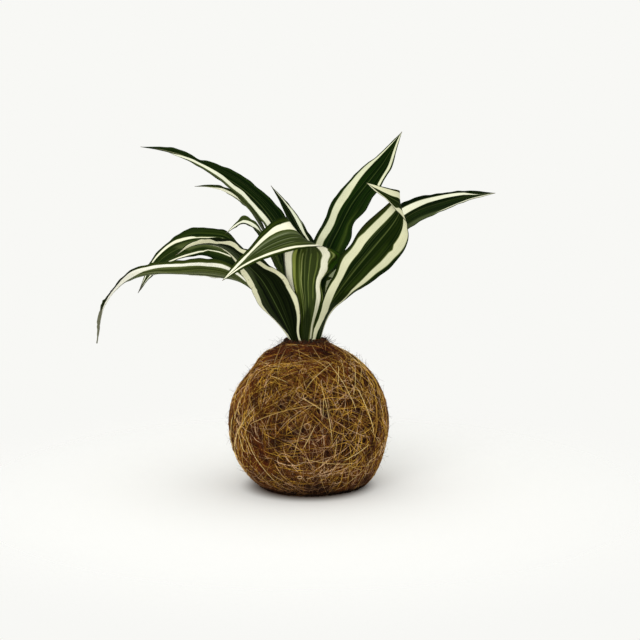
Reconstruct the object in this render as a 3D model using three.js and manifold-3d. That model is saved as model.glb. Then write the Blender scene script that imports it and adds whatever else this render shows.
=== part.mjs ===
// Kokedama: a striped dracaena whose root ball is wrapped in coir fibre, standing on a small flat spot.
// Millimetres, +Z up, origin at the centre of the flat spot under the ball. The front of the plant faces -Y.
import * as THREE from 'three';
import { mergeVertices } from 'three/addons/utils/BufferGeometryUtils.js';
import Module from 'manifold-3d';

const wasm = await Module();
wasm.setup();

// Clearances and shared sizes
const GAP = 0.3;                     // between pieces that touch
const BALL_RADIUS = 55;
const BALL_CENTRE_Z = 44.8;          // lower than the radius, so the ball has a flat spot
const STEM_X = -2.5;                 // the plant stands a little left of the ball's centre
const WRAP_WALL = 4.5;               // thickness of the wound coir
const WRAP_FLOOR = 4;                // coir left under the soil at the flat spot
const BALL_FACETS = 6;               // cuts along each edge of the icosahedron that is its base
const BLOCK = 200;                   // a cutting block, wider and taller than the ball

// The neck, where the wrap is drawn up round the stem
const NECK_RADIUS = 14.4;
const COLLAR_RISE = 12;
const COLLAR_SPREAD = 0.222;         // radians from the neck's axis
const SOIL_TOP_Z = 101;
const SOIL_SHOULDER = 0.8;           // how much lower the soil is at its rim
const SOIL_CROWN_RADIUS = 12.2;
const NECK_SIDES = 40;
const PLUG_TOP_Z = 140;              // clear of the neck, so a plug cuts right through it

// Where the hand-wound ball departs from a sphere: a direction, how far it stands out there, and the spread of
// that in radians
const LUMPS = [
  { towards: [-0.52, -0.1, 0.85], rise: 3.2, spread: 0.2 },
  { towards: [-0.76, -0.05, 0.65], rise: -2.2, spread: 0.24 },
  { towards: [0.7, -0.1, -0.7], rise: 3, spread: 0.34 },
  { towards: [0.2, 0.85, 0.3], rise: 1.4, spread: 0.5 },
  { towards: [0.45, -0.8, 0.2], rise: -1, spread: 0.4 },
];

// Wound strands of coir that stand out of the wrap
const STRAND_COUNT = 8;
const STRAND_SEED = 7;
const STRAND_TURN = 2.4;             // radians from one strand's axis to the next, the golden angle
const STRAND_STEPS = 26;
const STRAND_HALF_WIDTH = 1.6;
const STRAND_HEIGHT = 1.2;
const STRAND_ROOT = 1.2;             // how deep a strand is sunk
const STRAND_OFF_CENTRE = 24;        // most that a turn's plane passes beside the ball's centre
const STRAND_START = [0.3, 0.5, 0.8];

// The short cane in the middle of the leaves
const STEM_RADIUS = 7;
const STEM_CHAMFER = 0.6;
const STEM_CHAMFER_HEIGHT = 2;
const STEM_FOOT_Z = 81;
const STEM_SHOULDER_Z = 107;
const STEM_TOP_Z = 117;
const STEM_TOP_RADIUS = 3.2;
const STEM_SIDES = 20;

// The youngest leaf, still rolled
const SPEAR_TOP_Z = 162;
const SPEAR_RADIUS = 3.3;
const SPEAR_TIP_RADIUS = 0.6;
const SPEAR_TAPER = 2.2;             // how late the roll narrows to its tip
const SPEAR_ROWS = 9;
const SPEAR_SIDES = 14;
const SPEAR_LAP = 0.2;               // how far the outer edge stands off the roll
const SPEAR_TWIST = 1.6;             // radians from foot to tip

// Leaf blades
const BLADE = 0.8;                   // thickness
const LEAF_FOOT_Z = 101.5;
const TIP_HALF_WIDTH = 0.7;
const SHEATH = 0.22;                 // share of a leaf's length that clasps the stem
const CURL = 0.6;                    // share after which the hollow changes towards the tip
const RIPPLE_IN = [0.2, 0.45];       // shares between which the edges' waves grow
const RIPPLE_OUT = [0.85, 1];        // and die away
const RIPPLES = 3;                   // waves along an edge, where a leaf doesn't say otherwise
const EDGE_SHIFT = 0.37;             // turns of a wave by which each edge departs from the midrib's

// Each leaf: azimuth and ring place its foot round the stem; foot and half are its half widths at the stem and
// at the broadest place; spine is the midrib after the foot; across points from the midrib to the blade's second
// edge, at even steps after the foot; channel is the half angle of the blade's hollow.
const LEAVES = {
  leaf_long_left: {
    azimuth: 130, ring: 9.2, foot: 3.5, half: 12, broadest: 0.42, taper: 1.35, channel: 0.45, wave: 0.7,
    spine: [[-12, 11, 129], [-16, 19, 154], [-22, 27, 176], [-32, 33, 191], [-45, 39, 203], [-59, 44, 212],
      [-74, 50, 220], [-88, 55, 227], [-103, 59, 231], [-121, 64, 233]],
    across: [[-0.8, -0.6, 0], [-0.5, -0.75, -0.4], [-0.2, -0.7, -0.65], [0, -0.65, -0.75],
      [0.1, -0.75, -0.6]],
    steps: 25, strips: 6,
  },
  leaf_slim_left: {
    azimuth: 118, ring: 10.5, foot: 2.8, half: 6.5, broadest: 0.45, taper: 1.7, channel: 0.5, wave: 0.3,
    spine: [[-10, 18, 128], [-17, 28, 148], [-28, 38, 168], [-42, 48, 189], [-51, 52, 197], [-62, 55, 203],
      [-72, 57, 205], [-82, 58, 205]],
    across: [[-0.8, -0.6, 0], [-0.3, -0.8, 0.3], [0, -0.7, 0.6], [0, -0.7, 0.7]],
    steps: 20, strips: 4,
  },
  leaf_small_arch: {
    azimuth: 160, ring: 7.9, foot: 2.6, half: 6, broadest: 0.55, taper: 1.7, channel: 0.35, wave: 0.2,
    spine: [[-15, 3, 132], [-22, 5, 154], [-30, 7, 168], [-36, 8, 179], [-44, 9, 184], [-51, 9, 180],
      [-57, 8, 175]],
    across: [[-0.3, -0.95, 0], [-0.1, -0.8, -0.5], [0.1, -0.7, -0.7]],
    steps: 20, strips: 4,
  },
  leaf_arching_left: {
    azimuth: 182, ring: 9.2, foot: 3.1, half: 15.5, broadest: 0.5, taper: 1.45, channel: 0.2, wave: 1.4,
    ripples: 4,
    spine: [[-17, 4, 123], [-28, 8, 138], [-41, 13, 154], [-56, 17, 164], [-76, 20, 167], [-92, 20, 163],
      [-107, 19, 152], [-119, 17, 133]],
    across: [[0, -0.9, -0.2], [0.1, -0.75, -0.6], [0, -0.6, -0.8], [0, -0.6, -0.8], [0.3, -0.5, -0.8]],
    steps: 26, strips: 6,
  },
  leaf_drooping_left: {
    azimuth: 170, ring: 10.5, foot: 3.7, half: 13, broadest: 0.38, taper: 1.7, channel: 0.45, wave: 0.5,
    spine: [[-19, 1, 115], [-29, 4, 127], [-40, 5, 138], [-54, 2, 147], [-70, -5, 151], [-87, -12, 151],
      [-106, -20, 151], [-122, -26, 146], [-133, -30, 130], [-141, -32, 105]],
    across: [[0, -0.95, 0.2], [0, -0.8, 0.6], [0, -0.87, 0.5], [0, -0.87, 0.4], [0.2, -0.9, 0.2]],
    steps: 28, strips: 6,
  },
  leaf_front_left: {
    azimuth: -130, ring: 10.5, foot: 5.6, half: 13.5, broadest: 0.3, taper: 1.7, channel: 0.3,
    tipChannel: 0.6, wave: 0.4,
    spine: [[-18, -13, 121], [-25, -18, 136], [-32, -21, 148], [-40, -24, 157], [-47, -26, 165],
      [-55, -28, 170], [-66, -29, 172], [-78, -30, 170], [-88, -30, 164]],
    across: [[0.9, -0.4, 0], [0.95, -0.3, 0.1], [0.6, -0.65, 0.45], [-0.1, -0.85, 0.5], [-0.1, -0.9, 0.3]],
    steps: 24, strips: 6,
  },
  leaf_front_folded: {
    azimuth: -88, ring: 9.2, foot: 4.5, half: 19.5, broadest: 0.42, taper: 1.3, channel: 0.5, wave: 0.3,
    spine: [[0, -12, 125], [0, -16, 142], [1, -21, 158], [2, -26, 167], [0, -31, 173], [-5, -36, 177],
      [-14, -42, 178], [-27, -49, 174], [-41, -55, 165], [-55, -61, 151]],
    across: [[1, 0, 0], [0.95, 0, -0.32], [0.75, -0.05, -0.65], [0.6, -0.2, -0.75], [0.5, -0.3, -0.8]],
    steps: 34, strips: 6,
  },
  leaf_back_upright: {
    azimuth: 85, ring: 9.2, foot: 3.1, half: 7.5, broadest: 0.45, taper: 1.7, channel: 0.5, wave: 0.3,
    spine: [[1, 15, 128], [2, 28, 153], [-3, 35, 168], [-10, 41, 181], [-18, 46, 194], [-27, 49, 206]],
    across: [[-1, 0, 0], [-1, -0.1, 0], [-0.95, -0.2, 0]],
    steps: 18, strips: 4,
  },
  leaf_tall_right: {
    azimuth: 40, ring: 7.9, foot: 3.9, half: 13.5, broadest: 0.5, taper: 1.7, channel: 0.35, wave: 1,
    spine: [[4, 7, 124], [9, 11, 143], [14, 17, 163], [22, 22, 179], [30, 28, 194], [41, 35, 208],
      [53, 43, 223], [66, 51, 244]],
    across: [[-0.9, 0.4, 0], [-0.93, 0.3, 0.2], [-0.88, 0.35, 0.4], [-0.85, 0.4, 0.4]],
    steps: 24, strips: 6,
  },
  leaf_broad_right: {
    azimuth: -36, ring: 10.5, foot: 5.4, half: 16, broadest: 0.52, taper: 1.45, channel: 0.25, wave: 0.6,
    spine: [[11, -14, 123], [19, -22, 137], [32, -28, 155], [44, -32, 170], [55, -36, 184], [60, -40, 193],
      [60, -45, 199], [54, -50, 203], [46, -53, 208], [38, -55, 213]],
    across: [[0.65, 0.7, -0.2], [0.85, 0.2, -0.5], [0.8, 0, -0.6], [0.7, 0, -0.7], [0.1, 0, -1],
      [-0.2, 0, -1]],
    steps: 34, strips: 6,
  },
  leaf_side_right: {
    azimuth: 24, ring: 9.2, foot: 4, half: 12, broadest: 0.55, taper: 1.7, channel: 0.35, wave: 0.4,
    spine: [[14, 7, 122], [30, 12, 146], [45, 17, 164], [60, 22, 179], [75, 27, 189], [94, 33, 195],
      [112, 38, 199], [132, 43, 201]],
    across: [[-0.3, 0.9, 0.3], [-0.3, 0.7, 0.6], [-0.2, 0.7, 0.7], [-0.1, 0.7, 0.7]],
    steps: 24, strips: 6,
  },
};

const COIR = new THREE.MeshStandardMaterial({ color: 0x6b4a28, roughness: 0.95, metalness: 0 });
const SOIL = new THREE.MeshStandardMaterial({ color: 0x2b1c12, roughness: 1, metalness: 0 });
const CANE = new THREE.MeshStandardMaterial({ color: 0x6c6140, roughness: 0.8, metalness: 0 });
const LEAF = new THREE.MeshStandardMaterial({ color: 0x24401c, roughness: 0.45, metalness: 0 });

const vec = (p) => new THREE.Vector3(...p);
const curve = (points) => new THREE.CatmullRomCurve3(points.map(vec), false, 'catmullrom', 0.5);
const smoothstep = (low, high, value) => THREE.MathUtils.smoothstep(value, low, high);
const { cos, sin, exp, sqrt, PI } = Math;

// A repeatable random number between 0 and 1
function seeded(seed) {
  let state = seed;
  return () => {
    state = (state * 1664525 + 1013904223) % 4294967296;
    return state / 4294967296;
  };
}

// Closed meshes from a list of points and a list of triangles, and to and from solids

function indexedGeometry(points, triangles) {
  const geometry = new THREE.BufferGeometry();
  const numbers = points.flatMap((point) => point.toArray());
  geometry.setAttribute('position', new THREE.Float32BufferAttribute(numbers, 3));
  geometry.setIndex(triangles.flat());
  return geometry;
}

function solid(geometry) {
  const bare = geometry.clone();
  bare.deleteAttribute('normal');
  bare.deleteAttribute('uv');
  const merged = mergeVertices(bare, 1e-4);
  return new wasm.Manifold(new wasm.Mesh({
    numProp: 3,
    vertProperties: Float32Array.from(merged.attributes.position.array),
    triVerts: Uint32Array.from(merged.index.array),
  }));
}

function fromSolid(body) {
  const { vertProperties, triVerts } = body.getMesh();
  const geometry = new THREE.BufferGeometry();
  geometry.setAttribute('position', new THREE.Float32BufferAttribute(vertProperties, 3));
  geometry.setIndex([...triVerts]);
  return geometry;
}

// A round body about the stem's axis, from a profile of [radius, z] that starts and ends on the axis
function turned(profile, sides) {
  const lathe = new THREE.LatheGeometry(profile.map(([r, z]) => new THREE.Vector2(r, z)), sides);
  return lathe.rotateX(PI / 2).translate(STEM_X, 0, 0);
}

// Everything above a level
function above(level) {
  return solid(new THREE.BoxGeometry(BLOCK, BLOCK, BLOCK).translate(0, 0, level + BLOCK / 2));
}

// Leaves

// The blade's middle surface as rows of points from foot to tip, each row from its first to its second edge
function leafRows(leaf) {
  const angle = THREE.MathUtils.degToRad(leaf.azimuth);
  const foot = [STEM_X + leaf.ring * cos(angle), leaf.ring * sin(angle), LEAF_FOOT_Z];
  const clasp = [-sin(angle), cos(angle), 0];
  const spine = curve([foot, ...leaf.spine]);
  const across = curve([clasp, ...leaf.across]);
  const tipChannel = leaf.tipChannel ?? leaf.channel;
  const rows = [];
  for (let i = 0; i <= leaf.steps; i += 1) {
    const s = i / leaf.steps;
    const middle = spine.getPointAt(s);
    const side = across.getPoint(s).normalize();
    const up = new THREE.Vector3().crossVectors(spine.getTangentAt(s), side).normalize();
    const past = Math.max(0, (s - leaf.broadest) / (1 - leaf.broadest));
    const swell = leaf.foot + (leaf.half - leaf.foot) * smoothstep(0, leaf.broadest, s);
    const half = Math.max(TIP_HALF_WIDTH, past > 0 ? leaf.half * (1 - past ** leaf.taper) : swell);
    const hollow = leaf.channel + (leaf.foot / leaf.ring - leaf.channel) * (1 - smoothstep(0, SHEATH, s))
      + (tipChannel - leaf.channel) * smoothstep(CURL, 1, s);
    const rippled = leaf.wave * smoothstep(...RIPPLE_IN, s) * (1 - smoothstep(...RIPPLE_OUT, s));
    const row = [];
    for (let j = 0; j <= leaf.strips; j += 1) {
      const t = -1 + 2 * j / leaf.strips;
      const phase = 2 * PI * ((leaf.ripples ?? RIPPLES) * s + EDGE_SHIFT * Math.sign(t));
      const rise = (half / hollow) * (1 - cos(hollow * t)) + rippled * sin(phase) * Math.abs(t) ** 3;
      const reach = (half / hollow) * sin(hollow * t);
      row.push(middle.clone().addScaledVector(side, reach).addScaledVector(up, rise));
    }
    rows.push(row);
  }
  return rows;
}

// The direction square to the blade at one point of its middle surface
function bladeNormal(rows, i, j) {
  const along = rows[Math.min(i + 1, rows.length - 1)][j].clone().sub(rows[Math.max(i - 1, 0)][j]);
  const over = rows[i][Math.min(j + 1, rows[i].length - 1)].clone().sub(rows[i][Math.max(j - 1, 0)]);
  return along.cross(over).normalize();
}

// Both faces of a blade are split along the same diagonals, so they never cross
function bladeGeometry(leaf) {
  const rows = leafRows(leaf);
  const width = leaf.strips + 1;
  const faces = [1, -1].map((way) => rows.flatMap((row, i) => row.map(
    (point, j) => point.clone().addScaledVector(bladeNormal(rows, i, j), way * BLADE / 2),
  )));
  const under = rows.length * width;
  const triangles = [];
  for (let i = 0; i < leaf.steps; i += 1) {
    for (let j = 0; j < leaf.strips; j += 1) {
      const [a, b] = [i * width + j, (i + 1) * width + j];
      const [c, d] = [b + 1, a + 1];
      triangles.push([a, b, c], [a, c, d]);
      triangles.push([under + a, under + c, under + b], [under + a, under + d, under + c]);
    }
  }
  const rim = [];
  for (let j = 0; j < leaf.strips; j += 1) rim.push(j);
  for (let i = 0; i < leaf.steps; i += 1) rim.push(i * width + leaf.strips);
  for (let j = leaf.strips; j > 0; j -= 1) rim.push(leaf.steps * width + j);
  for (let i = leaf.steps; i > 0; i -= 1) rim.push(i * width);
  rim.forEach((here, k) => {
    const next = rim[(k + 1) % rim.length];
    triangles.push([here, next, under + next], [here, under + next, under + here]);
  });
  return indexedGeometry(faces.flat(), triangles);
}

// The ball

const neckAxis = new THREE.Vector3(STEM_X, 0, SOIL_TOP_Z - BALL_CENTRE_Z).normalize();
const lumps = LUMPS.map(({ towards, ...lump }) => ({ ...lump, towards: vec(towards).normalize() }));
const bell = (angle, spread) => exp(-((angle / spread) ** 2));

// How far the ball reaches from its centre in a direction
function ballReach(direction) {
  const rises = lumps.map(({ towards, rise, spread }) => rise * bell(direction.angleTo(towards), spread));
  return rises.reduce((sum, rise) => sum + rise, BALL_RADIUS);
}

function collar(direction) {
  return COLLAR_RISE * bell(direction.angleTo(neckAxis), COLLAR_SPREAD);
}

// A closed ball whose surface lies at reach(direction) from the centre
function roundBody(reach) {
  const geometry = new THREE.IcosahedronGeometry(1, BALL_FACETS);
  const { position } = geometry.attributes;
  for (let i = 0; i < position.count; i += 1) {
    const direction = new THREE.Vector3().fromBufferAttribute(position, i).normalize();
    const point = direction.clone().multiplyScalar(reach(direction));
    position.setXYZ(i, point.x, point.y, point.z + BALL_CENTRE_Z);
  }
  return solid(geometry);
}

// One wound turn: a ring with three sides, laid on the ball round an axis and beside its centre
function strand(axis, offCentre) {
  const first = vec(STRAND_START).cross(axis).normalize();
  const second = axis.clone().cross(first);
  const points = [];
  const triangles = [];
  const radius = sqrt(BALL_RADIUS ** 2 - offCentre ** 2);
  for (let i = 0; i < STRAND_STEPS; i += 1) {
    const angle = 2 * PI * i / STRAND_STEPS;
    const outward = first.clone().multiplyScalar(radius * cos(angle))
      .addScaledVector(second, radius * sin(angle)).addScaledVector(axis, offCentre).normalize();
    const beside = axis.clone().addScaledVector(outward, -axis.dot(outward)).normalize();
    const reach = ballReach(outward) + collar(outward);
    const place = (lift, over) => outward.clone().multiplyScalar(reach + lift)
      .addScaledVector(beside, over * STRAND_HALF_WIDTH).add(vec([0, 0, BALL_CENTRE_Z]));
    points.push(place(-STRAND_ROOT, -1), place(STRAND_HEIGHT, 0), place(-STRAND_ROOT, 1));
    for (let k = 0; k < 3; k += 1) {
      const [a, b] = [3 * i + k, 3 * i + (k + 1) % 3];
      const [c, d] = [(b + 3) % (3 * STRAND_STEPS), (a + 3) % (3 * STRAND_STEPS)];
      triangles.push([a, c, b], [a, d, c]);
    }
  }
  return solid(indexedGeometry(points, triangles));
}

// A plug down the neck, to cut a hole with
function plug(radius, bottom) {
  const profile = [[0, bottom], [radius, bottom], [radius, PLUG_TOP_Z], [0, PLUG_TOP_Z]];
  return solid(turned(profile, NECK_SIDES));
}

function wrapGeometry() {
  const random = seeded(STRAND_SEED);
  let body = roundBody((direction) => ballReach(direction) + collar(direction));
  for (let i = 0; i < STRAND_COUNT; i += 1) {
    const height = 1 - 2 * (i + 0.5) / STRAND_COUNT;
    const turn = STRAND_TURN * i + random();
    const level = sqrt(1 - height * height);
    const axis = new THREE.Vector3(level * cos(turn), level * sin(turn), height);
    body = body.add(strand(axis, STRAND_OFF_CENTRE * (2 * random() - 1)));
  }
  const room = roundBody((direction) => ballReach(direction) - WRAP_WALL).intersect(above(WRAP_FLOOR));
  return fromSolid(body.subtract(room).subtract(plug(NECK_RADIUS, BALL_CENTRE_Z)).intersect(above(0)));
}

function soilGeometry() {
  const radius = NECK_RADIUS - GAP;
  const crown = solid(turned([[0, BALL_CENTRE_Z], [radius, BALL_CENTRE_Z],
    [radius, SOIL_TOP_Z - SOIL_SHOULDER], [SOIL_CROWN_RADIUS, SOIL_TOP_Z], [0, SOIL_TOP_Z]], NECK_SIDES));
  return fromSolid(roundBody((direction) => ballReach(direction) - WRAP_WALL - GAP)
    .intersect(above(WRAP_FLOOR + GAP))
    .add(crown)
    .subtract(plug(STEM_RADIUS + GAP, STEM_FOOT_Z - GAP)));
}

// The stem and the rolled leaf at its top

function stemGeometry() {
  return turned([[0, STEM_FOOT_Z], [STEM_RADIUS - STEM_CHAMFER, STEM_FOOT_Z],
    [STEM_RADIUS, STEM_FOOT_Z + STEM_CHAMFER_HEIGHT], [STEM_RADIUS, STEM_SHOULDER_Z],
    [STEM_TOP_RADIUS, STEM_TOP_Z], [0, STEM_TOP_Z]], STEM_SIDES);
}

// A leaf rolled round itself: each row is a near circle whose radius steps up where its outer edge laps over
function spearGeometry() {
  const foot = STEM_TOP_Z + GAP;
  const points = [];
  const triangles = [];
  for (let i = 0; i <= SPEAR_ROWS; i += 1) {
    const s = i / SPEAR_ROWS;
    const radius = SPEAR_TIP_RADIUS + (SPEAR_RADIUS - SPEAR_TIP_RADIUS) * (1 - s ** SPEAR_TAPER);
    for (let j = 0; j < SPEAR_SIDES; j += 1) {
      const share = j / (SPEAR_SIDES - 1);
      const reach = radius * (1 + SPEAR_LAP * share);
      const angle = 2 * PI * j / SPEAR_SIDES + SPEAR_TWIST * s;
      points.push(new THREE.Vector3(STEM_X + reach * cos(angle), reach * sin(angle),
        foot + (SPEAR_TOP_Z - foot) * s));
    }
  }
  for (let i = 0; i < SPEAR_ROWS; i += 1) {
    for (let j = 0; j < SPEAR_SIDES; j += 1) {
      const [a, b] = [i * SPEAR_SIDES + j, i * SPEAR_SIDES + (j + 1) % SPEAR_SIDES];
      triangles.push([a, b, b + SPEAR_SIDES], [a, b + SPEAR_SIDES, a + SPEAR_SIDES]);
    }
  }
  const last = SPEAR_ROWS * SPEAR_SIDES;
  for (let j = 1; j < SPEAR_SIDES - 1; j += 1) {
    triangles.push([0, j + 1, j], [last, last + j, last + j + 1]);
  }
  return indexedGeometry(points, triangles);
}

function named(name, geometry, material) {
  const mesh = new THREE.Mesh(geometry, material);
  mesh.name = name;
  return mesh;
}

const kokedama = new THREE.Group();
kokedama.add(
  named('coir_wrap', wrapGeometry(), COIR),
  named('soil_ball', soilGeometry(), SOIL),
  named('stem', stemGeometry(), CANE),
  named('leaf_rolled_young', spearGeometry(), LEAF),
);
for (const [name, leaf] of Object.entries(LEAVES)) {
  kokedama.add(named(name, bladeGeometry(leaf), LEAF));
}

export default kokedama;
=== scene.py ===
"""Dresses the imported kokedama: striped strap leaves on a short cane over a root ball wound with coir fibre.

Sizes in the classes are millimetres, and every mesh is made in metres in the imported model's own frame: the
origin is the centre of the flat spot under the ball, +Z is up and the front of the plant faces -Y.
"""
import logging
import math
from dataclasses import dataclass
from enum import Enum
from typing import Any, Sequence, Union

import bpy
import numpy as np
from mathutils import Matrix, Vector, noise

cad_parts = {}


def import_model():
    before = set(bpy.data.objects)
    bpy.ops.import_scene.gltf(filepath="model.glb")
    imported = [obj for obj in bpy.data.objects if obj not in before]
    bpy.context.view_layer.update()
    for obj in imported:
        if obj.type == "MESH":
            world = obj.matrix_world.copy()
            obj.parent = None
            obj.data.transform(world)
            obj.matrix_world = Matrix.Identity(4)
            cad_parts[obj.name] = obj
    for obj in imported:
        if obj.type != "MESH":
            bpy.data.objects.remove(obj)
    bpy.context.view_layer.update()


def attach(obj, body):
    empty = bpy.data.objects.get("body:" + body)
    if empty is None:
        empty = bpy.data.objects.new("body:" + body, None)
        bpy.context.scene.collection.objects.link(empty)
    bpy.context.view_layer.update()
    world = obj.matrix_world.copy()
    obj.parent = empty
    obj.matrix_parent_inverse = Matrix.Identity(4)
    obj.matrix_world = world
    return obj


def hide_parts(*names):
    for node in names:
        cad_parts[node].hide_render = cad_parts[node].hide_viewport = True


LOG = logging.getLogger("kokedama")

Colour = tuple[float, float, float]
Triple = tuple[float, float, float]

MM = 0.001
BODY = "root"
UV_NAME = "UVMap"

CURVE_STEPS = 1601
CURVE_NUDGE = 0.001
PROFILE_LIMIT = 1.5
# TINY and SMALL keep a vector from having no length.
TINY = 1e-9
SMALL = 1e-6
TUBE_SIDES = 3

STEM_X = -2.5
BALL_CENTRE = np.array([0.0, 0.0, 44.8])
LEAF_FOOT_Z = 101.5
SOIL_TOP_Z = 101.0
NECK_RADIUS = 14.4


def srgb(red: float, green: float, blue: float) -> Colour:
    """Gives the linear colour of a screen colour that is named in steps from 0 to 255."""
    return tuple(((step / 255 + 0.055) / 1.055) ** 2.4 if step > 10 else step / 255 / 12.92
                 for step in (red, green, blue))


def unit(vectors: np.ndarray) -> np.ndarray:
    """Gives vectors of length 1 with the same directions."""
    return vectors / np.linalg.norm(vectors, axis=-1, keepdims=True)


def smoothstep(low: float, high: float, value: np.ndarray) -> np.ndarray:
    """Gives a smooth rise from 0 at low to 1 at high."""
    share = np.clip((value - low) / (high - low), 0.0, 1.0)
    return share * share * (3.0 - 2.0 * share)


def bell(distance: np.ndarray, spread: float) -> np.ndarray:
    """Gives a bell curve of height 1."""
    return np.exp(-((distance / spread) ** 2))


def catmull_rom(knots: np.ndarray, places: np.ndarray) -> np.ndarray:
    """Follows a smooth curve through knots.

    Args:
        knots: The points that the curve passes through.
        places: Where along the curve to look, from 0 to 1, with equal shares for the stretches between knots.

    Returns:
        One point of the curve for each place.
    """
    ends = np.vstack((2 * knots[0] - knots[1], knots, 2 * knots[-1] - knots[-2]))
    where = places * (len(knots) - 1)
    first = np.clip(where.astype(int), 0, len(knots) - 2)
    part = (where - first)[:, None]
    a, b, c, d = (ends[first + step] for step in range(4))
    cubic = 3 * b - a - 3 * c + d
    return 0.5 * (2 * b + (c - a) * part + (2 * a - 5 * b + 4 * c - d) * part ** 2 + cubic * part ** 3)


def evenly(knots: np.ndarray, shares: np.ndarray) -> tuple[np.ndarray, np.ndarray]:
    """Follows a smooth curve at even steps of its length.

    Args:
        knots: The points that the curve passes through.
        shares: Shares of the curve's length, from 0 to 1.

    Returns:
        The curve's points and its directions there.
    """
    fine = np.linspace(0.0, 1.0, CURVE_STEPS)
    line = catmull_rom(knots, fine)
    lengths = np.concatenate(([0.0], np.cumsum(np.linalg.norm(np.diff(line, axis=0), axis=1))))
    places = np.interp(shares * lengths[-1], lengths, fine)
    ahead = catmull_rom(knots, np.minimum(places + CURVE_NUDGE, 1.0))
    behind = catmull_rom(knots, np.maximum(places - CURVE_NUDGE, 0.0))
    return catmull_rom(knots, places), unit(ahead - behind)


def mottle(points: np.ndarray, size: float, seed: float) -> np.ndarray:
    """Gives a smooth random value of about -1 to 1 at each point, with lumps of a size in millimetres."""
    start = Vector((seed, 2 * seed, -seed))
    return np.array([noise.noise(Vector(point) / size + start) for point in points])


def deselect() -> None:
    """Leaves nothing selected, as an operator acts on all that is."""
    bpy.ops.object.select_all(action="DESELECT")


def only(obj: bpy.types.Object) -> None:
    """Selects one object and makes it the active one.

    Args:
        obj: The object that the next operators act on.
    """
    deselect()
    obj.select_set(True)
    bpy.context.view_layer.objects.active = obj


def get_points(obj: bpy.types.Object) -> np.ndarray:
    """Reads where an object's vertices are.

    Args:
        obj: The object.

    Returns:
        One point in millimetres for each vertex.
    """
    flat = np.empty(3 * len(obj.data.vertices), np.float32)
    obj.data.vertices.foreach_get("co", flat)
    return flat.reshape(-1, 3).astype(float) / MM


def set_points(obj: bpy.types.Object, points: np.ndarray) -> None:
    """Moves an object's vertices to points in millimetres."""
    obj.data.vertices.foreach_set("co", (points * MM).astype(np.float32).ravel())
    obj.data.update()


def shade_smooth(obj: bpy.types.Object) -> None:
    """Shades every face of an object smoothly."""
    obj.data.polygons.foreach_set("use_smooth", np.ones(len(obj.data.polygons), bool))
    obj.data.update()


def finish_piece(obj: bpy.types.Object, node: str, finishes: Sequence[bpy.types.Material]) -> None:
    """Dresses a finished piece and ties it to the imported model.

    Args:
        obj: The piece, with its place in its mesh.
        node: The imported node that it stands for.
        finishes: The piece's materials in the order of its faces' slots.
    """
    for finish in finishes:
        obj.data.materials.append(finish)
    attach(obj, BODY)
    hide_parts(node)
    triangles = sum(len(face.vertices) - 2 for face in obj.data.polygons)
    LOG.info("%s: %d triangles, stands for %s", obj.name, triangles, node)


def flat_grid(name: str, across: int, along: int) -> tuple[bpy.types.Object, np.ndarray, np.ndarray]:
    """Adds a flat grid, the start of a leaf.

    Args:
        name: The piece's name.
        across: How many faces the grid has across the leaf.
        along: How many faces it has along the leaf.

    Returns:
        The grid, and for each vertex its share of the leaf's length and its place across, from -1 to 1.
    """
    deselect()
    bpy.ops.mesh.primitive_grid_add(x_subdivisions=across, y_subdivisions=along, size=2 * MM)
    grid = bpy.context.object
    grid.name = name
    flat = get_points(grid)
    return grid, np.clip((flat[:, 1] + 1) / 2, 0.0, 1.0), -flat[:, 0]


def solid_sheet(sheet: bpy.types.Object, thickness: float) -> bpy.types.Modifier:
    """Puts a Solidify modifier on a thin sheet, which it makes thicker to both sides.

    Args:
        sheet: The sheet, which is then the only one selected.
        thickness: Its thickness in millimetres.

    Returns:
        The modifier, which is still to be applied.
    """
    only(sheet)
    solidify = sheet.modifiers.new("thickness", "SOLIDIFY")
    solidify.thickness = thickness * MM
    solidify.offset = 0.0
    return solidify


def turned(name: str, profile: Sequence[tuple[float, float]], sides: int) -> bpy.types.Object:
    """Draws a round body about the stem's axis ring by ring.

    Args:
        name: The piece's name.
        profile: Radius and height of each ring, in millimetres, from one end of the body to the other.
        sides: How many sides each ring has.

    Returns:
        The closed body, with its rings' vertices one ring after the other.
    """
    deselect()
    radius, height = profile[0]
    centre = [STEM_X * MM, 0.0, height * MM]
    bpy.ops.mesh.primitive_circle_add(vertices=sides, radius=radius * MM, location=centre)
    obj = bpy.context.object
    obj.name = name
    bpy.ops.object.mode_set(mode="EDIT")
    bpy.ops.mesh.select_all(action="SELECT")
    for (before, low), (after, high) in zip(profile, profile[1:]):
        centre[2] = high * MM
        bpy.ops.mesh.extrude_region_move(TRANSFORM_OT_translate={"value": (0, 0, (high - low) * MM)})
        bpy.ops.transform.resize(value=(after / before, after / before, 1), center_override=centre)
    bpy.ops.mesh.select_all(action="SELECT")
    bpy.ops.mesh.fill_holes(sides=0)
    bpy.ops.mesh.normals_make_consistent(inside=False)
    bpy.ops.object.mode_set(mode="OBJECT")
    bpy.ops.object.transform_apply(location=True, rotation=True, scale=True)
    return obj


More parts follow.
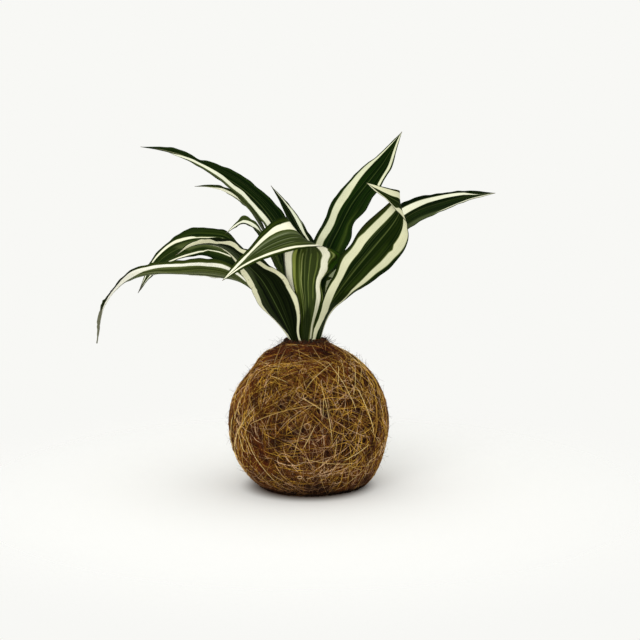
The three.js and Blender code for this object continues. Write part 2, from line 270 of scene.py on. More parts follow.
class Value:
    """One socket of a material, with arithmetic: each operator adds a Math node."""

    def __init__(self, shader: "Shader", socket: bpy.types.NodeSocket) -> None:
        """Wraps an output socket of a material that is being made."""
        self.shader = shader
        self.socket = socket

    def __add__(self, other: "Number") -> "Value":
        """Adds."""
        return self.shader.math("ADD", self, other)

    def __sub__(self, other: "Number") -> "Value":
        """Takes away."""
        return self.shader.math("SUBTRACT", self, other)

    def __rsub__(self, other: "Number") -> "Value":
        """Takes away from a plain number."""
        return self.shader.math("SUBTRACT", other, self)

    def __mul__(self, other: "Number") -> "Value":
        """Multiplies."""
        return self.shader.math("MULTIPLY", self, other)

    def __rmul__(self, other: "Number") -> "Value":
        """Multiplies, with the plain number first."""
        return self.shader.math("MULTIPLY", other, self)

    def __truediv__(self, other: "Number") -> "Value":
        """Divides."""
        return self.shader.math("DIVIDE", self, other)

    def __abs__(self) -> "Value":
        """Gives the size without the sign."""
        return self.shader.math("ABSOLUTE", self)


Number = Union[Value, float]
Paint = Union[Value, Colour]


class Shader:
    """A material that is being made, node by node."""

    def __init__(self, name: str) -> None:
        """Starts an empty material.

        Args:
            name: The material's name.
        """
        self.material = bpy.data.materials.new(name)
        self.material.use_nodes = True
        self.material.node_tree.nodes.clear()

    def node(self, kind: str, settings: dict[str, Any] | None = None,
             sockets: dict[Any, Any] | None = None) -> bpy.types.Node:
        """Adds a node.

        Args:
            kind: The node's type.
            settings: The node's own settings, which are set first; stops are those of a colour ramp.
            sockets: Values or links of its input sockets, by name or number.

        Returns:
            The node.
        """
        made = self.material.node_tree.nodes.new(kind)
        for setting, value in (settings or {}).items():
            if setting == "stops":
                self._set_stops(made.color_ramp, value)
            else:
                setattr(made, setting, value)
        for key, value in (sockets or {}).items():
            socket = made.inputs[key]
            if isinstance(value, Value):
                self.material.node_tree.links.new(value.socket, socket)
            elif socket.type == "RGBA":
                socket.default_value = (*value, 1.0)
            else:
                socket.default_value = value
        return made

    @staticmethod
    def _set_stops(ramp: bpy.types.ColorRamp, stops: Sequence[tuple[float, Colour]]) -> None:
        """Gives a colour ramp its stops.

        Args:
            ramp: The ramp of a new node.
            stops: Places from 0 to 1, in order, and the colour at each.
        """
        while len(ramp.elements) < len(stops):
            ramp.elements.new(1.0)
        for element, (place, colour) in zip(ramp.elements, stops):
            element.position = place
            element.color = (*colour, 1.0)

    def math(self, operation: str, *operands: Number) -> Value:
        """Adds a Math node on one, two or three values."""
        made = self.node("ShaderNodeMath", {"operation": operation}, dict(enumerate(operands)))
        return Value(self, made.outputs[0])

    def smooth(self, value: Number, low: Number, high: Number) -> Value:
        """Gives a smooth rise from 0 to 1.

        Args:
            value: What the rise follows.
            low: The value up to which the rise is 0.
            high: The value from which it is 1. Where high is below low, the rise falls instead.

        Returns:
            The rise.
        """
        made = self.node("ShaderNodeMapRange", {"interpolation_type": "SMOOTHSTEP"},
                         {"Value": value, "From Min": low, "From Max": high})
        return Value(self, made.outputs[0])

    def mix(self, factor: Number, first: Paint, second: Paint, blend: str = "MIX") -> Value:
        """Mixes two colours.

        Args:
            factor: How much of the second colour there is, from 0 to 1.
            first: The first colour.
            second: The second colour.
            blend: The Mix node's blend type.

        Returns:
            The mixed colour.
        """
        made = self.node("ShaderNodeMix", {"data_type": "RGBA", "blend_type": blend, "clamp_factor": True},
                         {0: factor, 6: first, 7: second})
        return Value(self, made.outputs[2])

    def noise(self, place: Value | tuple[Number, Number, Number], scale: float = 1.0, detail: float = 2.0,
              roughness: float = 0.5) -> Value:
        """Gives soft noise between 0 and 1.

        Args:
            place: Where the noise is read: a vector, or its three parts.
            scale: How many lumps there are in a unit of length.
            detail: How many finer layers there are.
            roughness: How strong the finer layers are.

        Returns:
            The noise.
        """
        if isinstance(place, tuple):
            joined = self.node("ShaderNodeCombineXYZ", None, dict(enumerate(place)))
            place = Value(self, joined.outputs[0])
        made = self.node("ShaderNodeTexNoise", None,
                         {"Vector": place, "Scale": scale, "Detail": detail, "Roughness": roughness})
        return Value(self, made.outputs[0])

    def ramp(self, factor: Value, stops: Sequence[tuple[float, Colour]]) -> Value:
        """Turns a value into a colour between stops."""
        made = self.node("ShaderNodeValToRGB", {"stops": stops}, {"Fac": factor})
        return Value(self, made.outputs[0])

    def profile(self, value: Value, places: Sequence[tuple[float, float]]) -> Value:
        """Gives a number that changes smoothly with a value.

        Args:
            value: The value, from 0 to 1.
            places: Values and the number at each, which lies within PROFILE_LIMIT of 0.

        Returns:
            The number.
        """
        span = 2 * PROFILE_LIMIT
        stops = [(place, ((number + PROFILE_LIMIT) / span,) * 3) for place, number in places]
        return self.ramp(value, stops) * span - PROFILE_LIMIT

    def own_uv(self) -> tuple[Value, Value]:
        """Reads the piece's own UV map.

        Returns:
            Its two parts.
        """
        source = self.node("ShaderNodeUVMap", {"uv_map": UV_NAME})
        parts = self.node("ShaderNodeSeparateXYZ", None, {0: Value(self, source.outputs[0])})
        return Value(self, parts.outputs[0]), Value(self, parts.outputs[1])

    def here(self) -> Value:
        """Gives the place on the piece in metres."""
        return Value(self, self.node("ShaderNodeTexCoord").outputs["Object"])

    def height(self) -> Value:
        """Gives the height on the piece in metres."""
        parts = self.node("ShaderNodeSeparateXYZ", None, {0: self.here()})
        return Value(self, parts.outputs[2])

    def bump(self, height: Value, strength: float, distance: float) -> Value:
        """Turns a height into a normal.

        Args:
            height: The height, between 0 and 1.
            strength: How strong the bumps are.
            distance: What a height of 1 stands for, in millimetres.

        Returns:
            The normal.
        """
        made = self.node("ShaderNodeBump", None,
                         {"Strength": strength, "Distance": distance * MM, "Height": height})
        return Value(self, made.outputs[0])

    def surface(self, colour: Paint, roughness: Number, **more: Any) -> Value:
        """Adds the surface itself.

        Args:
            colour: Its colour.
            roughness: Its roughness.
            more: Values or links of more sockets, named by their words joined by underscores.

        Returns:
            The surface.
        """
        sockets = {"Base Color": colour, "Roughness": roughness}
        sockets.update({key.replace("_", " "): value for key, value in more.items()})
        return Value(self, self.node("ShaderNodeBsdfPrincipled", None, sockets).outputs[0])

    def done(self, surface: Value) -> bpy.types.Material:
        """Sends a surface to the material's output and gives the material."""
        self.node("ShaderNodeOutputMaterial", None, {"Surface": surface})
        return self.material


class Side(Enum):
    """The two sides of a leaf."""

    UPPER = "upper"
    UNDER = "under"


class Edge(Enum):
    """The two edges of a leaf, by the sign of the places across it."""

    FIRST = -1
    SECOND = 1


@dataclass(frozen=True)
class Stripe:
    """A lengthwise stripe on a leaf, in the leaf's cream unless it has a colour of its own.

    Each place gives, in percent, how far along the blade it is and the stripe's two borders across the blade
    there, from -100 at the first edge to 100 at the second. A border past 100 runs off the edge.
    """

    places: tuple[Triple, ...]
    colour: Colour | None = None
    strength: float = 1.0
    soft: float = 0.018


@dataclass(frozen=True)
class LeafFinish:
    """The striped skin of one leaf: green with cream stripes, and a thin dark edge."""

    stripes: tuple[Stripe, ...] = ()
    dark: Colour = srgb(15, 34, 4)
    mid: Colour = srgb(36, 54, 14)
    cream: Colour = srgb(242, 241, 214)
    edge: Colour = srgb(18, 32, 5)
    line: Colour = srgb(138, 152, 84)
    dry: Colour = srgb(128, 108, 76)
    worn: Colour = srgb(160, 160, 150)
    aged: Colour = srgb(214, 206, 160)
    speck: Colour = srgb(110, 78, 44)
    lines: float = 0.22
    shadow_lines: float = 0.35
    comb: float = 20.0
    rib: float = 0.2
    rib_width: tuple[float, float] = (0.008, 0.035)
    under_rib: float = 1.6
    specks: float = 0.15
    feather: float = 0.07
    drift: float = 0.05
    halo: float = 0.4
    edge_from: float = 0.93
    edge_fade: float = 0.03
    edge_strength: float = 0.85
    dry_from: float = 0.985
    dry_fade: float = 0.02
    dry_strength: float = 0.85
    upper_gloss: float = 0.48
    under_gloss: float = 0.6
    specular: float = 0.02

    def dress(self, name: str, seed: float) -> list[bpy.types.Material]:
        """Makes the materials of the leaf's upper side and underside."""
        return [self._material(f"{name}_{side.value}", seed, side) for side in Side]

    def _material(self, name: str, seed: float, side: Side) -> bpy.types.Material:
        """Makes the material of one side.

        Args:
            name: The material's name.
            seed: A number that makes this leaf's stripes wander in their own way.
            side: Which side of the leaf it is for.

        Returns:
            The material.
        """
        shader = Shader(name)
        first, along = shader.own_uv()
        across = 1.0 - 2.0 * first
        here = shader.here()
        feather = shader.noise((across * 15.0, along * 1.1, seed), detail=3.0) - 0.5
        slow = shader.noise((along * 9.0, across * 1.5, seed + 3.0)) - 0.5
        place = across + feather * self.feather + slow * self.drift
        pale = self._cream(shader, across, along, here, seed)
        colour = self._green(shader, across, along, seed)
        rib = 1.0 - shader.smooth(abs(across), *self.rib_width)
        rib_strength = self.rib * (self.under_rib if side is Side.UNDER else 1.0)
        colour = shader.mix(rib * rib_strength, colour, self.line)
        for stripe in self.stripes:
            colour = self._lay(shader, stripe, colour, pale, place, along)
        edge = shader.smooth(abs(across), self.edge_from, self.edge_from + self.edge_fade)
        colour = shader.mix(edge * self.edge_strength, colour, self.edge)
        patches = shader.noise(here, 55.0, 3.0)
        colour = shader.mix(shader.smooth(patches, 0.3, 0.7) * 0.2, colour, self.worn, "MULTIPLY")
        ragged = along + (shader.noise((across * 3.0, along * 30.0, seed)) - 0.5) * 0.03
        dryness = shader.smooth(ragged, self.dry_from, self.dry_from + self.dry_fade)
        fibres = shader.noise((across * 12.0, along * 6.0, seed + 1.0))
        dry = shader.mix(fibres, self.dry, tuple(0.35 * part for part in self.dry))
        colour = shader.mix(dryness * self.dry_strength, colour, dry)
        veins = shader.noise((across * 34.0, along * 0.9, seed + 11.0), detail=2.0)
        folds = shader.noise((across * 9.0, along * 1.4, seed + 13.0), detail=2.0)
        normal = shader.bump(veins * 0.45 + folds * 0.55 - rib * 0.25, 0.5, 0.35)
        gloss = self.under_gloss if side is Side.UNDER else self.upper_gloss
        roughness = (shader.noise(here, 160.0, 3.0) - 0.5) * 0.16 + gloss
        return shader.done(shader.surface(colour, roughness, Normal=normal, Specular_IOR_Level=self.specular))

    def _lay(self, shader: Shader, stripe: Stripe, ground: Value, pale: Value, place: Value,
             along: Value) -> Value:
        """Lays one stripe over the colours below it.

        Args:
            shader: The material that is being made.
            stripe: The stripe.
            ground: The colour below.
            pale: The leaf's cream.
            place: Place across the blade, with the wander of the stripes' borders.
            along: Share of the blade's length.

        Returns:
            The colour.
        """
        low = shader.profile(along, [(share / 100, border / 100) for share, border, _ in stripe.places])
        high = shader.profile(along, [(share / 100, border / 100) for share, _, border in stripe.places])
        fade = 2 * stripe.soft
        inside = shader.smooth(place - low, 0.0, fade) * shader.smooth(high - place, 0.0, fade)
        if stripe.colour is not None:
            return shader.mix(inside * stripe.strength, ground, stripe.colour)
        beside = shader.smooth(place - low, -0.03, 0.01) * shader.smooth(high - place, -0.03, 0.01)
        ground = shader.mix(beside * self.halo, ground, self.line)
        return shader.mix(inside * stripe.strength, ground, pale)

    def _green(self, shader: Shader, across: Value, along: Value, seed: float) -> Value:
        """Mixes the green of the blade.

        Args:
            shader: The material that is being made.
            across: Place across the blade, from -1 to 1.
            along: Share of the blade's length.
            seed: The leaf's own number.

        Returns:
            The colour.
        """
        broad = shader.noise((across * 7.0, along * 0.8, seed + 17.0), detail=4.0, roughness=0.6)
        green = shader.mix(shader.smooth(broad, 0.38, 0.68), self.dark, self.mid)
        comb = shader.noise((across * self.comb, along * 1.3, seed + 19.0), detail=3.0)
        green = shader.mix(shader.smooth(comb, 0.56, 0.72) * self.lines, green, self.line)
        darker = shader.smooth(comb, 0.46, 0.3) * self.shadow_lines
        return shader.mix(darker, green, tuple(0.4 * part for part in self.dark))

    def _cream(self, shader: Shader, across: Value, along: Value, here: Value, seed: float) -> Value:
        """Mixes the cream of the stripes, with faint green lines and a few brown specks.

        Args:
            shader: The material that is being made.
            across: Place across the blade, from -1 to 1.
            along: Share of the blade's length.
            here: The place on the piece in metres.
            seed: The leaf's own number.

        Returns:
            The colour.
        """
        comb = shader.noise((across * 46.0, along * 1.2, seed + 29.0), detail=2.0)
        pale = shader.mix(shader.smooth(comb, 0.58, 0.75) * 0.22, self.cream, self.line)
        spots = shader.noise(here, 620.0, 1.0)
        pale = shader.mix(shader.smooth(spots, 0.7, 0.76) * self.specks, pale, self.speck)
        tinge = shader.noise((across * 3.0, along * 7.0, seed + 31.0), detail=2.0)
        return shader.mix(shader.smooth(tinge, 0.45, 0.75) * 0.2, pale, self.aged)


@dataclass(frozen=True)
class Nick:
    """A place where a blade's edge stands in, or out where its depth is below 0.

    Its place and spread are shares of the blade's length, and its depth is a share of the half width there.
    """

    edge: Edge
    at: float
    spread: float
    depth: float


@dataclass
class LeafBlade:
    """One strap leaf: a thin blade with a hollow, waved edges and a sheath round the stem.

    Azimuth and ring place its foot round the stem; foot and half are its half widths at the stem and at the
    broadest place; spine is the midrib after the foot; across points from the midrib to the second edge.
    """

    name: str
    azimuth: float
    ring: float
    foot: float
    half: float
    broadest: float
    taper: float
    channel: float
    wave: float
    spine: Sequence[Triple]
    across: Sequence[Triple]
    finish: LeafFinish
    ripples: int = 3
    tip_channel: float | None = None
    nicks: tuple[Nick, ...] = ()
    ragged: float = 0.0
    ragged_from: tuple[float, float] = (0.72, 0.9)
    rows: int = 120
    strips: int = 22
    seed: float = 1.0
    thickness: float = 0.55
    margin_thickness: float = 0.4
    edge_thinning: float = 2.5
    tip_thinning: float = 0.6
    tip_half_width: float = 0.18
    unevenness: float = 0.008
    sheath: float = 0.22
    curl: float = 0.6
    ripple_in: tuple[float, float] = (0.2, 0.45)
    ripple_out: tuple[float, float] = (0.85, 1.0)
    edge_shift: float = 0.37
    crease: float = 0.45
    crease_width: float = 0.16
    crease_from: tuple[float, float] = (0.1, 0.3)
    flutter: float = 0.28
    flutters: float = 13.0

    def half_width(self, share: np.ndarray, over: np.ndarray) -> np.ndarray:
        """Gives the half width of the blade, with its nicks.

        Args:
            share: Shares of the blade's length.
            over: Places across the blade, from -1 to 1.

        Returns:
            The half width in millimetres at each place.
        """
        past = np.maximum(0.0, (share - self.broadest) / (1 - self.broadest))
        swell = self.foot + (self.half - self.foot) * smoothstep(0.0, self.broadest, share)
        half = np.where(past > 0, self.half * (1 - past ** self.taper), swell)
        edge = np.sign(over)
        for nick in self.nicks:
            half = half * (1 - nick.depth * bell(share - nick.at, nick.spread) * (edge == nick.edge.value))
        # Slow waves make both edges a little uneven, and quick ones tear the end of a ragged leaf.
        uneven = np.sin(31 * share + 5 * edge + self.seed) + np.sin(53 * share - 3 * edge + 2 * self.seed)
        half = half * (1 + self.unevenness * uneven)
        torn = np.sin(190 * share + 9 * edge) * np.sin(83 * share + 4 * edge) + 0.6 * np.sin(331 * share)
        half = half * (1 - self.ragged * smoothstep(*self.ragged_from, share) * (0.5 + 0.5 * torn))
        return np.maximum(self.tip_half_width, half)

    def surface(self, share: np.ndarray, over: np.ndarray) -> np.ndarray:
        """Gives points of the blade's middle surface.

        Args:
            share: Shares of the blade's length.
            over: Places across the blade, from -1 to 1.

        Returns:
            One point in millimetres for each pair.
        """
        angle = math.radians(self.azimuth)
        foot = (STEM_X + self.ring * math.cos(angle), self.ring * math.sin(angle), LEAF_FOOT_Z)
        clasp = (-math.sin(angle), math.cos(angle), 0.0)
        middle, tangent = evenly(np.array([foot, *self.spine], float), share)
        side = unit(catmull_rom(np.array([clasp, *self.across], float), share))
        up = unit(np.cross(tangent, side))
        half = self.half_width(share, over)
        tip_channel = self.channel if self.tip_channel is None else self.tip_channel
        clasping = (self.foot / self.ring - self.channel) * (1 - smoothstep(0, self.sheath, share))
        hollow = self.channel + clasping + (tip_channel - self.channel) * smoothstep(self.curl, 1, share)
        waved = smoothstep(*self.ripple_in, share) * (1 - smoothstep(*self.ripple_out, share))
        phase = 2 * math.pi * (self.ripples * share + self.edge_shift * np.sign(over))
        rise = (half / hollow) * (1 - np.cos(hollow * over))
        rise += self.wave * waved * np.sin(phase) * np.abs(over) ** 3
        flutter = np.sin(2 * math.pi * self.flutters * share + 2.3 * np.sign(over) + self.seed)
        flutter += 0.6 * np.sin(2 * math.pi * 1.7 * self.flutters * share - np.sign(over) + 3 * self.seed)
        rise += self.flutter * waved * flutter * np.abs(over) ** 6
        crease = bell(over, self.crease_width) * smoothstep(*self.crease_from, share)
        rise -= self.crease * crease * (half / self.half)
        reach = (half / hollow) * np.sin(hollow * over)
        return middle + side * reach[:, None] + up * rise[:, None]

    def build(self) -> bpy.types.Object:
        """Shapes the blade from a flat grid, gives it its thickness and dresses it.

        Returns:
            The blade.
        """
        blade, share, over = flat_grid(f"{self.name}_blade", self.strips, self.rows)
        set_points(blade, self.surface(share, over))
        group = blade.vertex_groups.new(name="thickness")
        stout = 1 - np.abs(over) ** self.edge_thinning
        stout = stout * (1 - self.tip_thinning * smoothstep(0.6, 1.0, share))
        for index, weight in enumerate(stout):
            group.add([index], float(weight), "REPLACE")
        self._thicken(blade)
        shade_smooth(blade)
        finish_piece(blade, self.name, self.finish.dress(self.name, self.seed))
        return blade

    def _thicken(self, blade: bpy.types.Object) -> None:
        """Gives the blade two sides, with the underside in its second material slot.

        Args:
            blade: The blade, whose vertex group says where it is thick.
        """
        solidify = solid_sheet(blade, self.thickness)
        solidify.vertex_group = "thickness"
        solidify.thickness_vertex_group = self.margin_thickness
        solidify.material_offset = 1
        solidify.use_quality_normals = True
        for _ in Side:
            blade.data.materials.append(None)
        bpy.ops.object.modifier_apply(modifier=solidify.name)
        blade.data.materials.clear()


@dataclass
class RolledLeaf:
    """The youngest leaf, a thin sheet still rolled round itself on top of the cane."""

    name: str = "leaf_rolled_young"
    bottom: float = 117.3
    top: float = 162.0
    radius: float = 3.5
    tip_radius: float = 0.55
    taper: float = 2.2
    turns: float = 1.7
    tightest: float = 0.42
    twist: float = 1.6
    slant: float = 6.0
    rows: int = 60
    strips: int = 60
    thickness: float = 0.35
    seed: float = 91.0
    finish: LeafFinish = LeafFinish(
        (Stripe(((0, -85, -60), (100, -90, -50))), Stripe(((0, 60, 85), (100, 50, 90)))),
        mid=srgb(70, 92, 36))

    def build(self) -> bpy.types.Object:
        """Rolls a flat grid into the young leaf and dresses it.

        Returns:
            The rolled leaf.
        """
        roll, share, place = flat_grid(f"{self.name}_roll", self.strips, self.rows)
        over = (1 + place) / 2
        radius = self.tip_radius + (self.radius - self.tip_radius) * (1 - share ** self.taper)
        reach = radius * (self.tightest + (1 - self.tightest) * over)
        angle = 2 * math.pi * self.turns * over + self.twist * share
        slant = self.slant * (over - 0.5) * smoothstep(0.5, 1.0, share)
        height = self.bottom + (self.top - self.bottom - self.slant / 2) * share + slant
        spread = np.stack((STEM_X + reach * np.cos(angle), reach * np.sin(angle), height), axis=1)
        set_points(roll, spread)
        bpy.ops.object.modifier_apply(modifier=solid_sheet(roll, self.thickness).name)
        bpy.ops.object.mode_set(mode="EDIT")
        bpy.ops.mesh.select_all(action="SELECT")
        bpy.ops.mesh.normals_make_consistent(inside=False)
        bpy.ops.object.mode_set(mode="OBJECT")
        shade_smooth(roll)
        finish_piece(roll, self.name, self.finish.dress(self.name, self.seed)[:1])
        return roll


@dataclass(frozen=True)
class BarkFinish:
    """The cane's skin: tan and green-brown rings between leaf scars."""

    tan: Colour = srgb(120, 104, 66)
    green: Colour = srgb(74, 82, 40)
    scar: Colour = srgb(58, 44, 26)

    def material(self, scar_step: float) -> bpy.types.Material:
        """Makes the material.

        Args:
            scar_step: From one leaf scar to the next up the cane, in millimetres.

        Returns:
            The material.
        """
        shader = Shader("cane_bark")
        here = shader.here()
        rings = shader.math("FRACT", shader.height() / (scar_step * MM) + shader.noise(here, 90.0) * 0.3)
        skin = shader.mix(shader.noise(here, 240.0, 4.0), self.tan, self.green)
        scar = 1.0 - shader.smooth(abs(rings - 0.5), 0.03, 0.14)
        colour = shader.mix(scar * 0.8, skin, self.scar)
        grain = shader.noise(here, 900.0, 4.0)
        normal = shader.bump(grain * 0.6 - scar * 0.4, 0.7, 0.4)
        return shader.done(shader.surface(colour, grain * 0.2 + 0.62, Normal=normal, Specular_IOR_Level=0.25))


@dataclass
class Cane:
    """The short stem in the middle of the leaves, ringed with the scars of old leaves."""

    name: str = "stem"
    foot_z: float = 81.2
    shoulder_z: float = 107.0
    top_z: float = 117.0
    radius: float = 6.8
    top_radius: float = 3.1
    scar_step: float = 3.6
    scar_depth: float = 0.35
    scar_spread: float = 0.16
    end_radius: float = 0.4
    unevenness: float = 0.18
    rings: int = 46
    sides: int = 56
    finish: BarkFinish = BarkFinish()

    def build(self) -> bpy.types.Object:
        """Draws the cane ring by ring, makes it uneven and dresses it.

        Returns:
            The cane.
        """
        heights = np.linspace(self.foot_z, self.top_z, self.rings)
        narrowing = smoothstep(self.shoulder_z, self.top_z, heights)
        radii = self.radius + (self.top_radius - self.radius) * narrowing
        radii -= self.scar_depth * bell(((heights / self.scar_step) % 1.0) - 0.5, self.scar_spread)
        profile = [(self.end_radius, self.foot_z), *zip(radii, heights), (self.end_radius, self.top_z)]
        cane = turned("cane", profile, self.sides)
        points = get_points(cane)
        outward = points - np.array([STEM_X, 0.0, 0.0])
        outward[:, 2] = 0.0
        outward = unit(outward + TINY)
        set_points(cane, points + outward * self.unevenness * mottle(points, 3.0, 4.0)[:, None])
        shade_smooth(cane)
        finish_piece(cane, self.name, [self.finish.material(self.scar_step)])
        return cane


@dataclass(frozen=True)
class Lump:
    """A place where the wound ball stands out, or in where its rise is below 0."""

    towards: Triple
    rise: float
    spread: float


@dataclass
class BallForm:
    """The outline of the root ball: a sphere with lumps, a collar drawn up round the stem and a flat spot."""

    radius: float = 55.0
    collar_rise: float = 12.0
    collar_spread: float = 0.222
    hole_angle: float = 0.255
    rim_spread: float = 0.15
    lumps: tuple[Lump, ...] = (
        Lump((-0.52, -0.1, 0.85), 3.2, 0.2),
        Lump((-0.76, -0.05, 0.65), -2.2, 0.24),
        Lump((0.7, -0.1, -0.7), 3.0, 0.34),
        Lump((0.2, 0.85, 0.3), 1.4, 0.5),
        Lump((0.45, -0.8, 0.2), -1.0, 0.4),
    )

    def neck_axis(self) -> np.ndarray:
        """Gives the direction from the ball's centre to the middle of the neck."""
        return unit(np.array([STEM_X, 0.0, SOIL_TOP_Z - BALL_CENTRE[2]]))

    def neck_angle(self, directions: np.ndarray) -> np.ndarray:
        """Gives the angle between each direction and the neck's."""
        return np.arccos(np.clip(directions @ self.neck_axis(), -1.0, 1.0))

    def body_reach(self, directions: np.ndarray) -> np.ndarray:
        """Gives the ball's reach from its centre, without the collar.

        Args:
            directions: Directions from the centre, of length 1.

        Returns:
            How far the ball reaches in each direction, in millimetres.
        """
        reach = np.full(directions.shape[:-1], self.radius)
        for lump in self.lumps:
            angle = np.arccos(np.clip(directions @ unit(np.array(lump.towards)), -1.0, 1.0))
            reach = reach + lump.rise * bell(angle, lump.spread)
        return reach

    def reach(self, directions: np.ndarray) -> np.ndarray:
        """Gives how far the ball reaches from its centre in each direction, with the collar."""
        collar = self.collar_rise * bell(self.neck_angle(directions), self.collar_spread)
        return self.body_reach(directions) + collar

    def clear_of_neck(self, directions: np.ndarray) -> np.ndarray:
        """Moves directions that run into the neck's hole out to its rim.

        Args:
            directions: Directions from the ball's centre, of length 1.

        Returns:
            The directions, none of which runs into the hole.
        """
        axis = self.neck_axis()
        angle = self.neck_angle(directions)[..., None]
        beside = unit(directions - axis * np.sum(directions * axis, axis=-1, keepdims=True) + TINY)
        rim = self.hole_angle + self.rim_spread * np.maximum(0.0, self.hole_angle - angle)
        pushed = axis * np.cos(rim) + beside * np.sin(rim)
        return np.where(angle < self.hole_angle, pushed, directions)


@dataclass(frozen=True)
class EarthFinish:
    """Dark crumbly soil."""

    dark: Colour = srgb(20, 13, 8)
    light: Colour = srgb(66, 46, 28)

    def material(self, name: str) -> bpy.types.Material:
        """Makes the material.

        Args:
            name: The material's name.

        Returns:
            The material.
        """
        shader = Shader(name)
        here = shader.here()
        lumps = shader.noise(here, 420.0, 5.0, 0.7)
        colour = shader.mix(shader.smooth(lumps, 0.35, 0.75), self.dark, self.light)
        normal = shader.bump(lumps, 0.9, 0.8)
        return shader.done(shader.surface(colour, 0.92, Normal=normal, Specular_IOR_Level=0.15))


@dataclass
class SoilBall:
    """The soil inside the wrap, of which the lumpy crown shows in the neck."""

    form: BallForm
    name: str = "soil_ball"
    stem_hole: float = 7.2
    stem_foot_z: float = 80.8
    crown_radius: float = 14.0
    depth_in_wrap: float = 4.9
    floor_z: float = 4.4
    plug_foot_z: float = 93.5
    shown_z: float = 99.5
    middle_radius: float = 0.4
    neck_gap: float = 0.29
    floor_gap: float = 0.75
    sides: int = 90
    crumbs: int = 900
    crumb_size: tuple[float, float] = (0.28, 0.85)
    heap: float = 2.6
    seed: int = 12
    finish: EarthFinish = EarthFinish()

    def build(self) -> list[bpy.types.Object]:
        """Draws the soil ring by ring with its crown, scatters crumbs on it and dresses both.

        Returns:
            The soil and its crumbs.
        """
        soil = turned("soil", self._profile(), self.sides)
        points = get_points(soil)
        directions = unit(points - BALL_CENTRE)
        below_neck = self.form.neck_angle(directions) > self.neck_gap - 0.005
        round_part = below_neck & (points[:, 2] > self.floor_z + 0.5)
        reach = self.form.body_reach(directions) - self.depth_in_wrap
        on_ball = BALL_CENTRE + directions * reach[:, None]
        points = np.where(round_part[:, None], on_ball, points)
        from_stem = np.hypot(points[:, 0] - STEM_X, points[:, 1])
        beside_stem = smoothstep(self.stem_hole - 0.1, self.stem_hole + 1.5, from_stem)
        shown = beside_stem * (points[:, 2] > self.shown_z)
        points[:, 2] += shown * (0.5 + 0.9 * mottle(points, 2.6, 3.0) + 0.5 * mottle(points, 1.1, 8.0))
        points[:, 2] = np.maximum(points[:, 2], self.floor_z)
        set_points(soil, points)
        shade_smooth(soil)
        finish_piece(soil, self.name, [self.finish.material("soil_earth")])
        return [soil, self._scatter()]

    def _profile(self) -> list[tuple[float, float]]:
        """Gives the soil's outline from the stem's hole over the crown and the ball to the floor.

        Returns:
            Radii and heights.
        """
        inner, foot = self.middle_radius, self.stem_foot_z
        hole = [(inner, foot), (self.stem_hole, foot), (self.stem_hole, SOIL_TOP_Z - 1.5)]
        crown = [(radius, SOIL_TOP_Z - 0.4) for radius in np.linspace(self.stem_hole, self.crown_radius, 12)]
        plug = [(self.crown_radius, height) for height in np.linspace(SOIL_TOP_Z - 1.2, self.plug_foot_z, 3)]
        reach = float(self.form.body_reach(self.form.neck_axis()[None])[0]) - self.depth_in_wrap
        angles = np.linspace(self.neck_gap, math.pi - self.floor_gap, 26)
        ball = [(reach * math.sin(angle), BALL_CENTRE[2] + reach * math.cos(angle)) for angle in angles]
        floor = [(0.6 * ball[-1][0], self.floor_z), (inner, self.floor_z)]
        return [*hole, *crown, *plug, *ball, *floor]

    def _scatter(self) -> bpy.types.Object:
        """Copies one small clod over the crown, each copy with its own size, place and turn.

        Returns:
            The crumbs, which are one piece.
        """
        rng = np.random.default_rng(self.seed)
        deselect()
        bpy.ops.mesh.primitive_ico_sphere_add(subdivisions=1, radius=MM)
        clod = bpy.context.object
        clod.name = "soil_crumbs"
        shape = get_points(clod)
        faces = np.array([face.vertices[:] for face in clod.data.polygons])
        turn = rng.uniform(0, 2 * math.pi, self.crumbs)
        width = self.crown_radius - self.stem_hole
        ring = self.stem_hole + 0.6 + width * rng.uniform(0, 1, self.crumbs)
        least, more = self.crumb_size
        size = least + more * rng.uniform(0, 1, self.crumbs) ** 2.5
        heap = self.heap * (1 - 0.5 * (ring - self.stem_hole) / width)
        lift = SOIL_TOP_Z + 0.2 + size * 0.5 + heap * rng.uniform(0, 1, self.crumbs)
        centres = np.stack((STEM_X + ring * np.cos(turn), ring * np.sin(turn), lift), axis=1)
        uneven = 1 + 0.35 * rng.normal(size=(self.crumbs, len(shape), 1))
        squash = rng.uniform(0.6, 1.2, (self.crumbs, 1, 3))
        points = centres[:, None] + shape[None] * uneven * squash * size[:, None, None]
        every = faces[None] + len(shape) * np.arange(self.crumbs)[:, None, None]
        mesh = bpy.data.meshes.new("soil_crumbs")
        mesh.from_pydata((points.reshape(-1, 3) * MM).tolist(), [], every.reshape(-1, 3).tolist())
        clod.data = mesh
        finish_piece(clod, self.name, [self.finish.material("crumb_earth")])
        return clod


